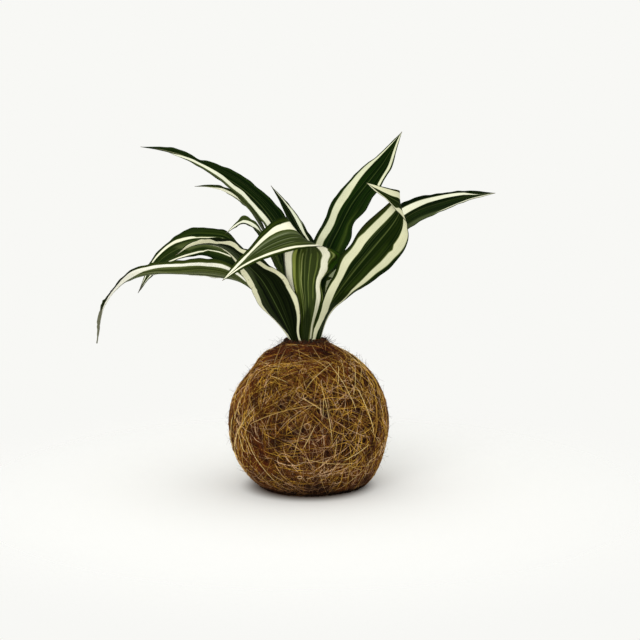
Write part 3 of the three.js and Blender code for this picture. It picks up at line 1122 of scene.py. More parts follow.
@dataclass(frozen=True)
class CoirFinish:
    """Coir fibre: its shade, mean and light colours, of which each fibre takes its own between them."""

    name: str
    shade: Colour
    mean: Colour
    light: Colour
    red: float = 0.3
    # Strength of the painted shade in the hollows.
    hollow: float = 0.8
    roughness: float = 0.72
    rust: Colour = srgb(112, 46, 12)
    # Painted shade in hollows where the fibres lie sparse.
    painted_hollow_shade: Colour = srgb(80, 52, 38)
    # Painted shade round the neck under the leaves, and the heights where it sets in.
    painted_crown_shade: Colour = srgb(186, 170, 160)
    painted_crown_heights: tuple[float, float] = (0.086, 0.1)
    # Painted shade on the lower ball, and the heights over which it fades.
    painted_bottom_shade: Colour = srgb(122, 88, 62)
    painted_bottom_heights: tuple[float, float] = (0.006, 0.03)
    # Painted contact shadow where the ball meets the floor, and the heights over which it fades.
    painted_foot_shadow: Colour = srgb(92, 80, 72)
    painted_foot_heights: tuple[float, float] = (0.0018, 0.005)

    def material(self) -> bpy.types.Material:
        """Makes the material, which reads the place along each fibre and its tint from the piece's UV map.

        Returns:
            The material.
        """
        shader = Shader(f"coir_{self.name}")
        along, tint = shader.own_uv()
        here = shader.here()
        colour = shader.ramp(tint, [(0.0, self.shade), (0.5, self.mean), (1.0, self.light)])
        lengthwise = shader.noise((along * 7.0, tint * 60.0, 2.0), detail=3.0)
        colour = shader.mix(shader.smooth(lengthwise, 0.5, 0.25) * 0.5, colour, self.shade)
        patches = shader.noise(here, 38.0, 3.0)
        colour = shader.mix(shader.smooth(patches, 0.48, 0.68) * self.red, colour, self.rust)
        # Painted shade: random patches are darkened as the shade of hollows where the fibres lie sparse.
        painted_hollows = shader.smooth(shader.noise(here, 75.0, 2.0), 0.54, 0.68)
        colour = shader.mix(painted_hollows * self.hollow, colour, self.painted_hollow_shade, "MULTIPLY")
        height = shader.height()
        # Painted shade: the top of the ball round the neck is darkened as the shade under the leaves.
        crown = shader.smooth(height, *self.painted_crown_heights)
        colour = shader.mix(crown * 0.8, colour, self.painted_crown_shade, "MULTIPLY")
        # Painted shade: the lower part of the ball is darkened towards the floor, where shade falls.
        painted_bottom = 1.0 - shader.smooth(height + patches * 0.012, *self.painted_bottom_heights)
        colour = shader.mix(painted_bottom * 0.85, colour, self.painted_bottom_shade, "MULTIPLY")
        # Painted shadow: the last few millimetres above the floor are darkened as the contact shadow.
        foot = 1.0 - shader.smooth(height, *self.painted_foot_heights)
        colour = shader.mix(foot * 0.9, colour, self.painted_foot_shadow, "MULTIPLY")
        return shader.done(shader.surface(colour, self.roughness, Specular_IOR_Level=0.12))


@dataclass
class Strands:
    """Many fibres that make one piece: their paths, radii and tints."""

    paths: np.ndarray
    radii: np.ndarray
    tints: np.ndarray

    def build(self, name: str, finish: CoirFinish) -> bpy.types.Object:
        """Makes a closed three-sided tube of each fibre and dresses them.

        Args:
            name: The piece's name.
            finish: The fibres' finish.

        Returns:
            The piece.
        """
        count, steps = self.paths.shape[:2]
        points = self._points()
        corners, starts = self._faces()
        share = np.tile(np.repeat(np.linspace(0, 1, steps), TUBE_SIDES), count)
        tint = np.repeat(self.tints, TUBE_SIDES * steps)
        mesh = bpy.data.meshes.new(name)
        mesh.vertices.add(len(points))
        mesh.vertices.foreach_set("co", (points * MM).astype(np.float32).ravel())
        mesh.loops.add(len(corners))
        mesh.loops.foreach_set("vertex_index", corners.astype(np.int32))
        mesh.polygons.add(len(starts))
        mesh.polygons.foreach_set("loop_start", starts.astype(np.int32))
        mesh.update(calc_edges=True)
        uv = np.stack((share[corners], tint[corners]), axis=1)
        mesh.uv_layers.new(name=UV_NAME).data.foreach_set("uv", uv.astype(np.float32).ravel())
        piece = bpy.data.objects.new(name, mesh)
        bpy.context.scene.collection.objects.link(piece)
        shade_smooth(piece)
        finish_piece(piece, "coir_wrap", [finish.material()])
        return piece

    def _points(self) -> np.ndarray:
        """Gives the corners of the fibres' cross-sections, which stand square to their paths.

        Returns:
            The corners, fibre by fibre and section by section.
        """
        tangents = unit(np.gradient(self.paths, axis=1) + TINY)
        side = unit(np.cross(tangents, unit(self.paths - BALL_CENTRE)) + SMALL)
        up = np.cross(side, tangents)
        rings = []
        for corner in range(TUBE_SIDES):
            angle = 2 * math.pi * corner / TUBE_SIDES + math.pi / 2
            lean = math.cos(angle) * side + math.sin(angle) * up
            rings.append(self.paths + self.radii[..., None] * lean)
        return np.stack(rings, axis=2).reshape(-1, 3)

    def _faces(self) -> tuple[np.ndarray, np.ndarray]:
        """Lists the four-sided faces along the fibres and the caps at their ends.

        Returns:
            The vertex at each corner, face by face, and the number of each face's first corner.
        """
        count, steps = self.paths.shape[:2]
        sections = np.arange(count)[:, None, None] * steps + np.arange(steps - 1)[None, :, None]
        near = TUBE_SIDES * sections
        far = near + TUBE_SIDES
        corner = np.arange(TUBE_SIDES)
        after = (corner + 1) % TUBE_SIDES
        quads = np.stack((near + corner, far + corner, far + after, near + after), axis=-1).reshape(-1, 4)
        head = TUBE_SIDES * steps * np.arange(count)[:, None]
        tail = head + TUBE_SIDES * (steps - 1)
        caps = np.concatenate((head + corner, tail + corner[::-1]))
        starts = np.concatenate((4 * np.arange(len(quads)), quads.size + TUBE_SIDES * np.arange(len(caps))))
        return np.concatenate((quads.ravel(), caps.ravel())), starts


@dataclass
class FibreLayer:
    """One layer of wound fibres that cross the ball in all directions."""

    name: str
    count: int
    segments: int
    length: tuple[float, float]
    width: tuple[float, float]
    depth: tuple[float, float]
    bend: float
    weave: float
    seed: int
    finish: CoirFinish
    spread: float
    bundle: int = 16
    floor: float = 0.22
    end_dip: float = 0.8
    end_share: float = 0.06
    thin_end: float = 0.25

    def wind(self, form: BallForm) -> Strands:
        """Walks each fibre over the ball, with the fibres of a bundle side by side in nearly one direction.

        Args:
            form: The ball's outline.

        Returns:
            The fibres.
        """
        rng = np.random.default_rng(self.seed)
        directions = form.clear_of_neck(self._walk(rng, form.radius))
        share = np.linspace(0, 1, self.segments + 1)[None]
        phase = rng.uniform(0, 2 * math.pi, (self.count, 1))
        waves = rng.uniform(1.0, 3.0, (self.count, 1))
        depth = rng.uniform(*self.depth, (self.count, 1))
        lift = depth + self.weave * np.sin(2 * math.pi * waves * share + phase)
        lift = lift - self.end_dip * (bell(share, self.end_share) + bell(share - 1, self.end_share))
        points = BALL_CENTRE + directions * (form.reach(directions) + lift)[..., None]
        radius = rng.uniform(*self.width, (self.count, 1)) / 2
        lowest = radius + self.floor * rng.uniform(0.2, 1.0, (self.count, 1))
        points[..., 2] = np.maximum(points[..., 2], lowest)
        full = np.minimum(1.0, np.sin(math.pi * np.clip(share, 0.02, 0.98)) * 3)
        taper = self.thin_end + (1 - self.thin_end) * full
        return Strands(points, radius * taper, rng.beta(0.8, 0.8, self.count))

    def _walk(self, rng: np.random.Generator, ball_radius: float) -> np.ndarray:
        """Walks the fibres over the ball step by step, while their headings turn.

        Args:
            rng: The layer's random numbers.
            ball_radius: The ball's radius in millimetres.

        Returns:
            The fibres' courses as directions from the ball's centre.
        """
        bundles = -(-self.count // self.bundle)
        middle = np.repeat(unit(rng.normal(size=(bundles, 3))), self.bundle, axis=0)[:self.count]
        course = np.repeat(rng.normal(size=(bundles, 3)), self.bundle, axis=0)[:self.count]
        here = unit(middle + self.spread * rng.normal(size=(self.count, 3)))
        heading = unit(np.cross(unit(course) + self.spread * rng.normal(size=(self.count, 3)), here))
        low, high = self.length
        length = low + (high - low) * rng.uniform(0, 1, self.count) ** 1.6
        step = (length / self.segments / ball_radius)[:, None]
        bend = self.bend * rng.normal(size=(self.count, 1))
        change = self.bend * 1.2 * rng.normal(size=(self.count, 1))
        directions = []
        for index in range(self.segments + 1):
            directions.append(here)
            turn = (bend + change * math.sin(3.0 * index / self.segments)) * step
            ahead = here * np.cos(step) + heading * np.sin(step)
            onward = heading * np.cos(step) - here * np.sin(step)
            here = unit(ahead)
            heading = unit(onward * np.cos(turn) + np.cross(here, onward) * np.sin(turn))
        return np.stack(directions, axis=1)


@dataclass
class HairLayer:
    """Loose ends that stand off the wound ball."""

    name: str
    count: int
    segments: int
    length: tuple[float, float]
    lift: tuple[float, float]
    width: tuple[float, float]
    curl: float
    seed: int
    finish: CoirFinish
    lowest_start: float = -0.62
    root_depth: float = 0.6
    floor: float = 0.3
    thinning: float = 0.75
    around_neck: bool = False

    def wind(self, form: BallForm) -> Strands:
        """Lets each loose end leave the ball at a random place and curl away from it.

        Args:
            form: The ball's outline.

        Returns:
            The loose ends.
        """
        rng = np.random.default_rng(self.seed)
        here = unit(rng.normal(size=(self.count, 3)))
        here[:, 2] = np.where(here[:, 2] < self.lowest_start, -here[:, 2], here[:, 2])
        if self.around_neck:
            here = unit(form.neck_axis() + 0.3 * unit(here))
        here = form.clear_of_neck(here)
        heading = unit(np.cross(rng.normal(size=(self.count, 3)), here))
        beside = np.cross(here, heading)
        share = np.linspace(0, 1, self.segments + 1)[None, :, None]
        length = rng.uniform(*self.length, (self.count, 1, 1))
        lift = rng.uniform(*self.lift, (self.count, 1, 1))
        sway = self.curl * rng.normal(size=(self.count, 1, 1))
        root = BALL_CENTRE + here * (form.reach(here) - self.root_depth)[:, None]
        points = root[:, None] + heading[:, None] * length * share + here[:, None] * lift * share ** 1.4
        points += beside[:, None] * (sway * share ** 2 + 0.3 * self.curl * np.sin(5 * share + 3 * sway))
        radius = rng.uniform(*self.width, (self.count, 1)) / 2
        points[..., 2] = np.maximum(points[..., 2], self.floor)
        taper = 1.0 - self.thinning * share[..., 0]
        return Strands(points, radius * taper, rng.beta(2.0, 2.0, self.count))


@dataclass
class NeckLayer:
    """Fibres drawn up over the collar to the stem."""

    name: str
    count: int
    segments: int
    seed: int
    finish: CoirFinish
    width: tuple[float, float] = (0.3, 0.5)
    start_angle: tuple[float, float] = (0.3, 1.0)
    end_angle: tuple[float, float] = (0.15, 0.29)
    swirl: float = 1.6
    lift: tuple[float, float] = (-0.8, 0.7)
    top_z: float = 103.6
    thinning: float = 0.6

    def wind(self, form: BallForm) -> Strands:
        """Leads each fibre from the ball's shoulder to the rim of the neck.

        Args:
            form: The ball's outline.

        Returns:
            The fibres.
        """
        rng = np.random.default_rng(self.seed)
        axis = form.neck_axis()
        first = unit(np.cross(axis, np.array([0.0, 1.0, 0.0])))
        second = np.cross(axis, first)
        share = np.linspace(0, 1, self.segments + 1)[None]
        nearest, farthest = self.start_angle
        begin = nearest + (farthest - nearest) * rng.uniform(0, 1, (self.count, 1)) ** 1.8
        end = rng.uniform(*self.end_angle, (self.count, 1))
        angle = begin + (end - begin) * share
        around = rng.uniform(0, 2 * math.pi, (self.count, 1))
        around = around + self.swirl * rng.normal(size=(self.count, 1)) * share
        around = around + 0.12 * np.sin(4 * share + rng.uniform(0, 6, (self.count, 1)))
        flat = first * np.cos(around)[..., None] + second * np.sin(around)[..., None]
        directions = axis * np.cos(angle)[..., None] + flat * np.sin(angle)[..., None]
        lift = rng.uniform(*self.lift, (self.count, 1)) - 0.6 * bell(share, 0.08)
        reach = np.minimum(form.reach(directions), (self.top_z - BALL_CENTRE[2]) / directions[..., 2])
        points = BALL_CENTRE + directions * (reach + lift)[..., None]
        radius = rng.uniform(*self.width, (self.count, 1)) / 2
        taper = 1.0 - self.thinning * share ** 3
        return Strands(points, radius * taper, rng.beta(2.0, 2.0, self.count))


@dataclass(frozen=True)
class ShellFinish:
    """The felted coir that shows in the gaps between the fibres, whose near-black colour is painted shade
    deep in those gaps.
    """

    dark: Colour = srgb(18, 7, 2)
    brown: Colour = srgb(48, 22, 8)

    def material(self) -> bpy.types.Material:
        """Makes the material.

        Returns:
            The material.
        """
        # Painted shade: the felt's near-black colours stand for the shade deep between the fibres.
        shader = Shader("coir_felt")
        here = shader.here()
        felt = shader.noise(here, 700.0, 4.0, 0.7)
        colour = shader.mix(shader.smooth(felt, 0.4, 0.72), self.dark, self.brown)
        normal = shader.bump(felt, 0.8, 0.8)
        return shader.done(shader.surface(colour, 0.9, Normal=normal, Specular_IOR_Level=0.15))


@dataclass
class CoirBall:
    """The coir wrap: a felted shell and the layers of fibres that are wound over it."""

    form: BallForm
    name: str = "coir_wrap"
    sunk: float = 1.7
    floor_z: float = 0.5
    pit_z: float = 97.0
    unevenness: float = 0.35
    finish: ShellFinish = ShellFinish()

    def layers(self) -> list[FibreLayer | HairLayer | NeckLayer]:
        """Sets the layers of fibres.

        Returns:
            The layers, from the deepest to the loose ends.
        """
        # Painted shade: the under layer's near-black browns stand for the shade deep among the fibres above
        # it.
        under = CoirFinish("under", srgb(20, 6, 1), srgb(46, 19, 5), srgb(80, 42, 13), 0.5)
        brown = CoirFinish("brown", srgb(14, 3, 0), srgb(58, 25, 6), srgb(140, 86, 26), 0.5, 0.7)
        golden = CoirFinish("golden", srgb(32, 11, 1), srgb(126, 79, 16), srgb(240, 190, 78), 0.3, 0.65)
        rosy = CoirFinish("rosy", srgb(40, 13, 6), srgb(126, 80, 46), srgb(254, 212, 160), 0.1, 0.6)
        pale = CoirFinish("pale", srgb(150, 106, 34), srgb(206, 160, 72), srgb(250, 222, 150), 0.0, 0.1)
        neck = CoirFinish("neck", srgb(34, 11, 4), srgb(90, 40, 15), srgb(158, 92, 42), 0.5)
        loose = CoirFinish("loose", srgb(30, 14, 5), srgb(70, 42, 18), srgb(130, 96, 54), 0.0)
        return [
            FibreLayer("coir_under", 1900, 6, (20, 60), (0.4, 0.7), (-1.6, -1.0), 4.0, 0.3, 101, under, 0.45),
            FibreLayer("coir_brown", 2600, 7, (18, 65), (0.3, 0.52), (-1.1, 0.2), 1.2, 0.35, 102, brown,
                       0.35),
            FibreLayer("coir_golden", 2400, 9, (20, 75), (0.25, 0.38), (-0.6, 0.4), 0.4, 0.35, 103, golden,
                       0.3),
            FibreLayer("coir_rosy", 1700, 8, (10, 40), (0.22, 0.33), (-0.2, 0.5), 0.9, 0.4, 107, rosy, 0.2),
            FibreLayer("coir_pale", 300, 10, (14, 60), (0.28, 0.38), (0.4, 0.9), 0.1, 0.15, 104, pale, 0.8),
            FibreLayer("coir_curls", 240, 14, (12, 36), (0.22, 0.34), (0.0, 0.7), 15.0, 0.4, 108, rosy, 0.8),
            NeckLayer("coir_neck", 460, 8, 105, neck),
            HairLayer("coir_loose_ends", 900, 6, (3, 13), (0.6, 5.0), (0.18, 0.3), 2.6, 106, loose),
            HairLayer("coir_neck_hairs", 190, 7, (1, 7), (1.5, 7.0), (0.18, 0.3), 4.5, 109, loose,
                      around_neck=True),
        ]

    def build(self) -> list[bpy.types.Object]:
        """Shapes the shell from a fine ball, winds the fibres over it and dresses them all.

        Returns:
            The shell and one piece for each layer.
        """
        deselect()
        bpy.ops.mesh.primitive_ico_sphere_add(subdivisions=6, radius=self.form.radius * MM)
        shell = bpy.context.object
        shell.name = "coir_shell"
        directions = unit(get_points(shell))
        points = BALL_CENTRE + directions * (self.form.reach(directions) - self.sunk)[:, None]
        points += directions * self.unevenness * mottle(points, 4.0, 2.0)[:, None]
        from_stem = np.hypot(points[:, 0] - STEM_X, points[:, 1])
        in_pit = (from_stem < NECK_RADIUS) & (points[:, 2] > self.pit_z)
        points[:, 2] = np.where(in_pit, self.pit_z, np.maximum(points[:, 2], self.floor_z))
        set_points(shell, points)
        shade_smooth(shell)
        finish_piece(shell, self.name, [self.finish.material()])
        return [shell] + [layer.wind(self.form).build(layer.name, layer.finish) for layer in self.layers()]


OLIVE = srgb(80, 90, 48)
YELLOW_GREEN = srgb(150, 160, 76)


def long_left() -> LeafBlade:
    """Sets the long leaf that reaches up to the left.

    Returns:
        The leaf, which is still to be built.
    """
    return LeafBlade(
        "leaf_long_left", azimuth=130, ring=9.2, foot=3.5, half=12, broadest=0.42, taper=1.35, channel=0.45,
        wave=0.7,
        spine=[(-12, 11, 129), (-16, 19, 154), (-22, 27, 176), (-32, 33, 191), (-45, 39, 203),
               (-59, 44, 212), (-74, 50, 220), (-88, 55, 227), (-103, 59, 231), (-121, 64, 233)],
        across=[(-0.8, -0.6, 0), (-0.5, -0.75, -0.4), (-0.2, -0.7, -0.65), (0, -0.65, -0.75),
                (0.1, -0.75, -0.6)],
        finish=LeafFinish(
            stripes=(
                Stripe(((30, 75, 120), (60, 68, 120), (68, 50, 90), (84, 50, 90),
                        (88, 90, 80)), OLIVE, 0.8, 0.06),
                Stripe(((30, 60, 40), (37, 25, 76), (43, 25, 77), (50, 38, 86), (54, 36, 82), (58, 18, 68),
                        (62, 24, 70), (67, -5, 52), (70, -10, 50), (75, -12, 50), (79, 0, 60), (82, 25, 78),
                        (85, 45, 95), (87, 70, 120), (92, 115, 120))),
                Stripe(((80, 30, 20), (84, 28, 42), (93, 28, 45), (97, 30, 20)), srgb(168, 168, 126), 0.8),
            ),
            dark=srgb(5, 20, 1), mid=srgb(24, 41, 7), cream=srgb(230, 232, 208), lines=0.14,
        ),
        nicks=(Nick(Edge.FIRST, 0.782, 0.03, 0.42), Nick(Edge.FIRST, 0.81, 0.09, 0.33),
               Nick(Edge.FIRST, 0.53, 0.07, 0.19), Nick(Edge.SECOND, 0.755, 0.07, 0.3),
               Nick(Edge.SECOND, 0.6, 0.05, -0.1)),
        seed=1.3,
    )


def slim_left() -> LeafBlade:
    """Sets the slim leaf below the long one.

    Returns:
        The leaf, which is still to be built.
    """
    return LeafBlade(
        "leaf_slim_left", azimuth=118, ring=10.5, foot=2.8, half=7.5, broadest=0.45, taper=1.7, channel=0.5,
        wave=0.3,
        spine=[(-10, 18, 128), (-17, 28, 148), (-28, 38, 168), (-42, 48, 189), (-51, 52, 197),
               (-62, 55, 203), (-72, 57, 205), (-82, 58, 205)],
        across=[(-0.8, -0.6, 0), (-0.3, -0.8, 0.3), (0, -0.7, 0.6), (0, -0.7, 0.7)],
        finish=LeafFinish(
            stripes=(
                Stripe(((50, 5, -5), (74, -10, -15), (78, 0, 30), (82, -30, 48), (86, -70, 42),
                        (90, -120, 5), (94, -120, -40))),
                Stripe(((50, 60, 120), (80, 60, 120), (100, 0, 120)), srgb(24, 32, 8), 0.7, 0.06),
            ),
            dark=srgb(34, 44, 12), mid=srgb(84, 94, 44),
        ),
        seed=2.1, rows=90, strips=14,
    )


def small_arch() -> LeafBlade:
    """Sets the small leaf that arches over behind the arching one.

    Returns:
        The leaf, which is still to be built.
    """
    return LeafBlade(
        "leaf_small_arch", azimuth=160, ring=7.9, foot=2.6, half=6, broadest=0.55, taper=1.7, channel=0.35,
        wave=0.2,
        spine=[(-15, 3, 132), (-22, 5, 154), (-30, 7, 168), (-36, 8, 179), (-44, 9, 184), (-51, 9, 180),
               (-57, 8, 175)],
        across=[(-0.3, -0.95, 0), (-0.1, -0.8, -0.5), (0.1, -0.7, -0.7)],
        finish=LeafFinish(
            stripes=(
                Stripe(((70, -50, -60), (76, -50, 0), (80, -35, 75), (84, -15, 70), (88, -10, 50),
                        (92, -45, 50), (97, -50, 40), (100, -30, 20))),
                Stripe(((86, 60, 120), (100, 40, 120)), srgb(30, 36, 16), 0.8, 0.05),
            ),
            dark=srgb(28, 42, 8), mid=srgb(62, 74, 32), cream=srgb(236, 238, 214), lines=0.3,
        ),
        nicks=(Nick(Edge.FIRST, 0.862, 0.03, -0.5), Nick(Edge.SECOND, 0.87, 0.05, -0.4),
               Nick(Edge.SECOND, 0.94, 0.04, -0.3)),
        seed=3.7, rows=90, strips=14,
    )


def arching_left() -> LeafBlade:
    """Sets the broad leaf that arches down at the left.

    Returns:
        The leaf, which is still to be built.
    """
    return LeafBlade(
        "leaf_arching_left", azimuth=182, ring=9.2, foot=3.1, half=15.5, broadest=0.5, taper=1.45,
        channel=0.2, wave=1.4, ripples=4,
        spine=[(-17, 4, 123), (-28, 8, 138), (-41, 13, 154), (-56, 17, 164), (-76, 20, 167), (-92, 20, 163),
               (-107, 19, 152), (-119, 17, 133)],
        across=[(0, -0.9, -0.2), (0.1, -0.75, -0.6), (0, -0.6, -0.8), (0, -0.6, -0.8), (0.3, -0.5, -0.8)],
        finish=LeafFinish(
            stripes=(
                Stripe(((30, -30, 40), (62, -35, 36), (68, -30, 55), (74, -35, 0),
                        (80, -30, -50)), OLIVE, 0.8, 0.12),
                Stripe(((0, -60, -30), (50, -50, -38), (60, -46, -38), (65, -44, -35), (68, -54, -35),
                        (72, -60, -38), (75, -70, -44), (79, -76, -48), (83, -76, -50), (87, -76, -56),
                        (93, -70, -40), (100, -50, -30))),
                Stripe(((0, 30, 60), (55, 35, 44), (60, 45, 53), (62, 60, 74), (70, 73, 92), (74, 78, 95),
                        (85, 82, 96), (92, 50, 70), (100, 30, 50))),
            ),
            dark=srgb(12, 28, 2), mid=srgb(36, 50, 10), lines=0.18, dry_from=0.95, dry=srgb(70, 70, 58),
        ),
        nicks=(Nick(Edge.FIRST, 0.61, 0.05, 0.12), Nick(Edge.FIRST, 0.435, 0.05, 0.5),
               Nick(Edge.FIRST, 0.8, 0.085, -0.3), Nick(Edge.SECOND, 0.61, 0.06, 0.32)),
        seed=4.9,
    )


def drooping_left() -> LeafBlade:
    """Sets the lowest leaf, whose tail hangs down at the far left.

    Returns:
        The leaf, which is still to be built.
    """
    return LeafBlade(
        "leaf_drooping_left", azimuth=170, ring=10.5, foot=3.7, half=13, broadest=0.38, taper=1.7,
        channel=0.45, wave=0.5,
        spine=[(-19, 1, 115), (-29, 4, 127), (-40, 5, 138), (-54, 2, 147), (-70, -5, 151), (-87, -12, 151),
               (-106, -20, 151), (-123, -26, 146), (-136.5, -30, 129), (-141, -32, 105)],
        across=[(0, -0.95, 0.2), (0, -0.8, 0.6), (0, -0.87, 0.5), (0, -0.87, 0.4), (-0.5, -0.83, 0.2)],
        finish=LeafFinish(
            stripes=(
                # Painted sheen: this pale sage band over the middle of the blade stands for the sheen of the
                # light on its upper side.
                Stripe(((30, -50, -30), (48, -42, -18), (54, -32, -5), (62, 0, 25),
                        (72, 10, 30)), srgb(150, 156, 112), 0.55, 0.08),
                Stripe(((0, -120, -95), (40, -95, -80), (50, -90, -70), (60, -88, -66), (70, -90, -75),
                        (75, -90, -88))),
                Stripe(((0, 50, 75), (32, 50, 78), (37, 46, 78), (43, 40, 70), (47, 45, 72), (50, 50, 77),
                        (58, 56, 81), (62.5, 52, 80), (67, 43, 83), (71, 11, 84), (75, -20, 75),
                        (80, -30, 60), (85, -30, 30), (90, -30, 10), (100, -20, 0))),
                Stripe(((66, 96, 90), (70, 84, 120), (75, 70, 120), (80, 50, 120), (84, 35, 90),
                        (90, 30, 80), (100, 10, 60)), srgb(14, 18, 6), 0.9),
                Stripe(((70, -120, -95), (76, -120, -75), (82, -120, -50), (90, -90, -40),
                        (100, -80, -30)), srgb(28, 32, 14), 0.9),
            ),
            # Painted light: this cream is brighter than the other leaves' cream, as the blade faces up into
            # the light.
            dark=srgb(46, 56, 14), mid=srgb(92, 102, 54), cream=srgb(252, 251, 236), lines=0.3,
            dry_from=0.87, dry=srgb(132, 132, 108),
        ),
        nicks=(Nick(Edge.FIRST, 0.56, 0.07, 0.3), Nick(Edge.FIRST, 0.66, 0.06, 0.35),
               Nick(Edge.SECOND, 0.79, 0.05, 0.3)),
        seed=5.3, ragged=0.3, tip_half_width=0.6,
    )


def front_left() -> LeafBlade:
    """Sets the broad leaf in front, at the left, whose end turns under.

    Returns:
        The leaf, which is still to be built.
    """
    return LeafBlade(
        "leaf_front_left", azimuth=-130, ring=10.5, foot=5.6, half=13.5, broadest=0.3, taper=1.7,
        channel=0.3, tip_channel=0.6, wave=0.4,
        spine=[(-18, -13, 121), (-25, -18, 136), (-32, -21, 148), (-40, -24, 157), (-47, -26, 165),
               (-55, -28, 170), (-66, -29, 172), (-78, -30, 170), (-88, -30, 164)],
        across=[(0.9, -0.4, 0), (0.95, -0.3, 0.1), (0.6, -0.65, 0.45), (-0.1, -0.85, 0.5),
                (-0.1, -0.9, 0.3)],
        finish=LeafFinish(
            stripes=(
                Stripe(((30, -70, -40), (40, -70, -30), (50, -60, 0), (62, -80, -10),
                        (80, -90, 10)), srgb(58, 68, 38), 0.6, 0.12),
                Stripe(((0, -120, -30), (6, -120, -40), (10, -120, -70), (12.5, -120, -78), (17, -120, -84),
                        (21, -120, -74), (35, -120, -64), (50, -120, -47), (54, -85, -50), (62, -85, -60),
                        (68, -95, -70), (100, -90, -70))),
                Stripe(((0, 72, 120), (12.5, 80, 120), (21, 81, 120), (30, 76, 120), (37.5, 79, 120),
                        (45, 74, 120), (49, 60, 90), (54, 50, 78), (62, 40, 90), (66, 36, 90), (70, 30, 80),
                        (73.5, 20, 55), (76, 5, 45), (79, 8, 80), (83, 8, 93), (88, 5, 93), (93, -10, 80),
                        (100, -20, 40))),
            ),
            # Painted shade: the near-black greens and greyed cream stand for the shade on this blade's
            # underside, which faces the front.
            dark=srgb(3, 8, 1), mid=srgb(22, 31, 6), cream=srgb(206, 205, 172), specks=0.6, rib=0.5,
            lines=0.17, line=srgb(76, 92, 46), edge_from=0.965,
        ),
        nicks=(Nick(Edge.FIRST, 0.355, 0.01, 0.07), Nick(Edge.FIRST, 0.22, 0.08, -0.2),
               Nick(Edge.SECOND, 0.15, 0.06, -0.15), Nick(Edge.SECOND, 0.28, 0.12, -0.22),
               Nick(Edge.SECOND, 0.415, 0.045, -0.22), Nick(Edge.SECOND, 0.635, 0.035, 0.4)),
        seed=6.1,
    )


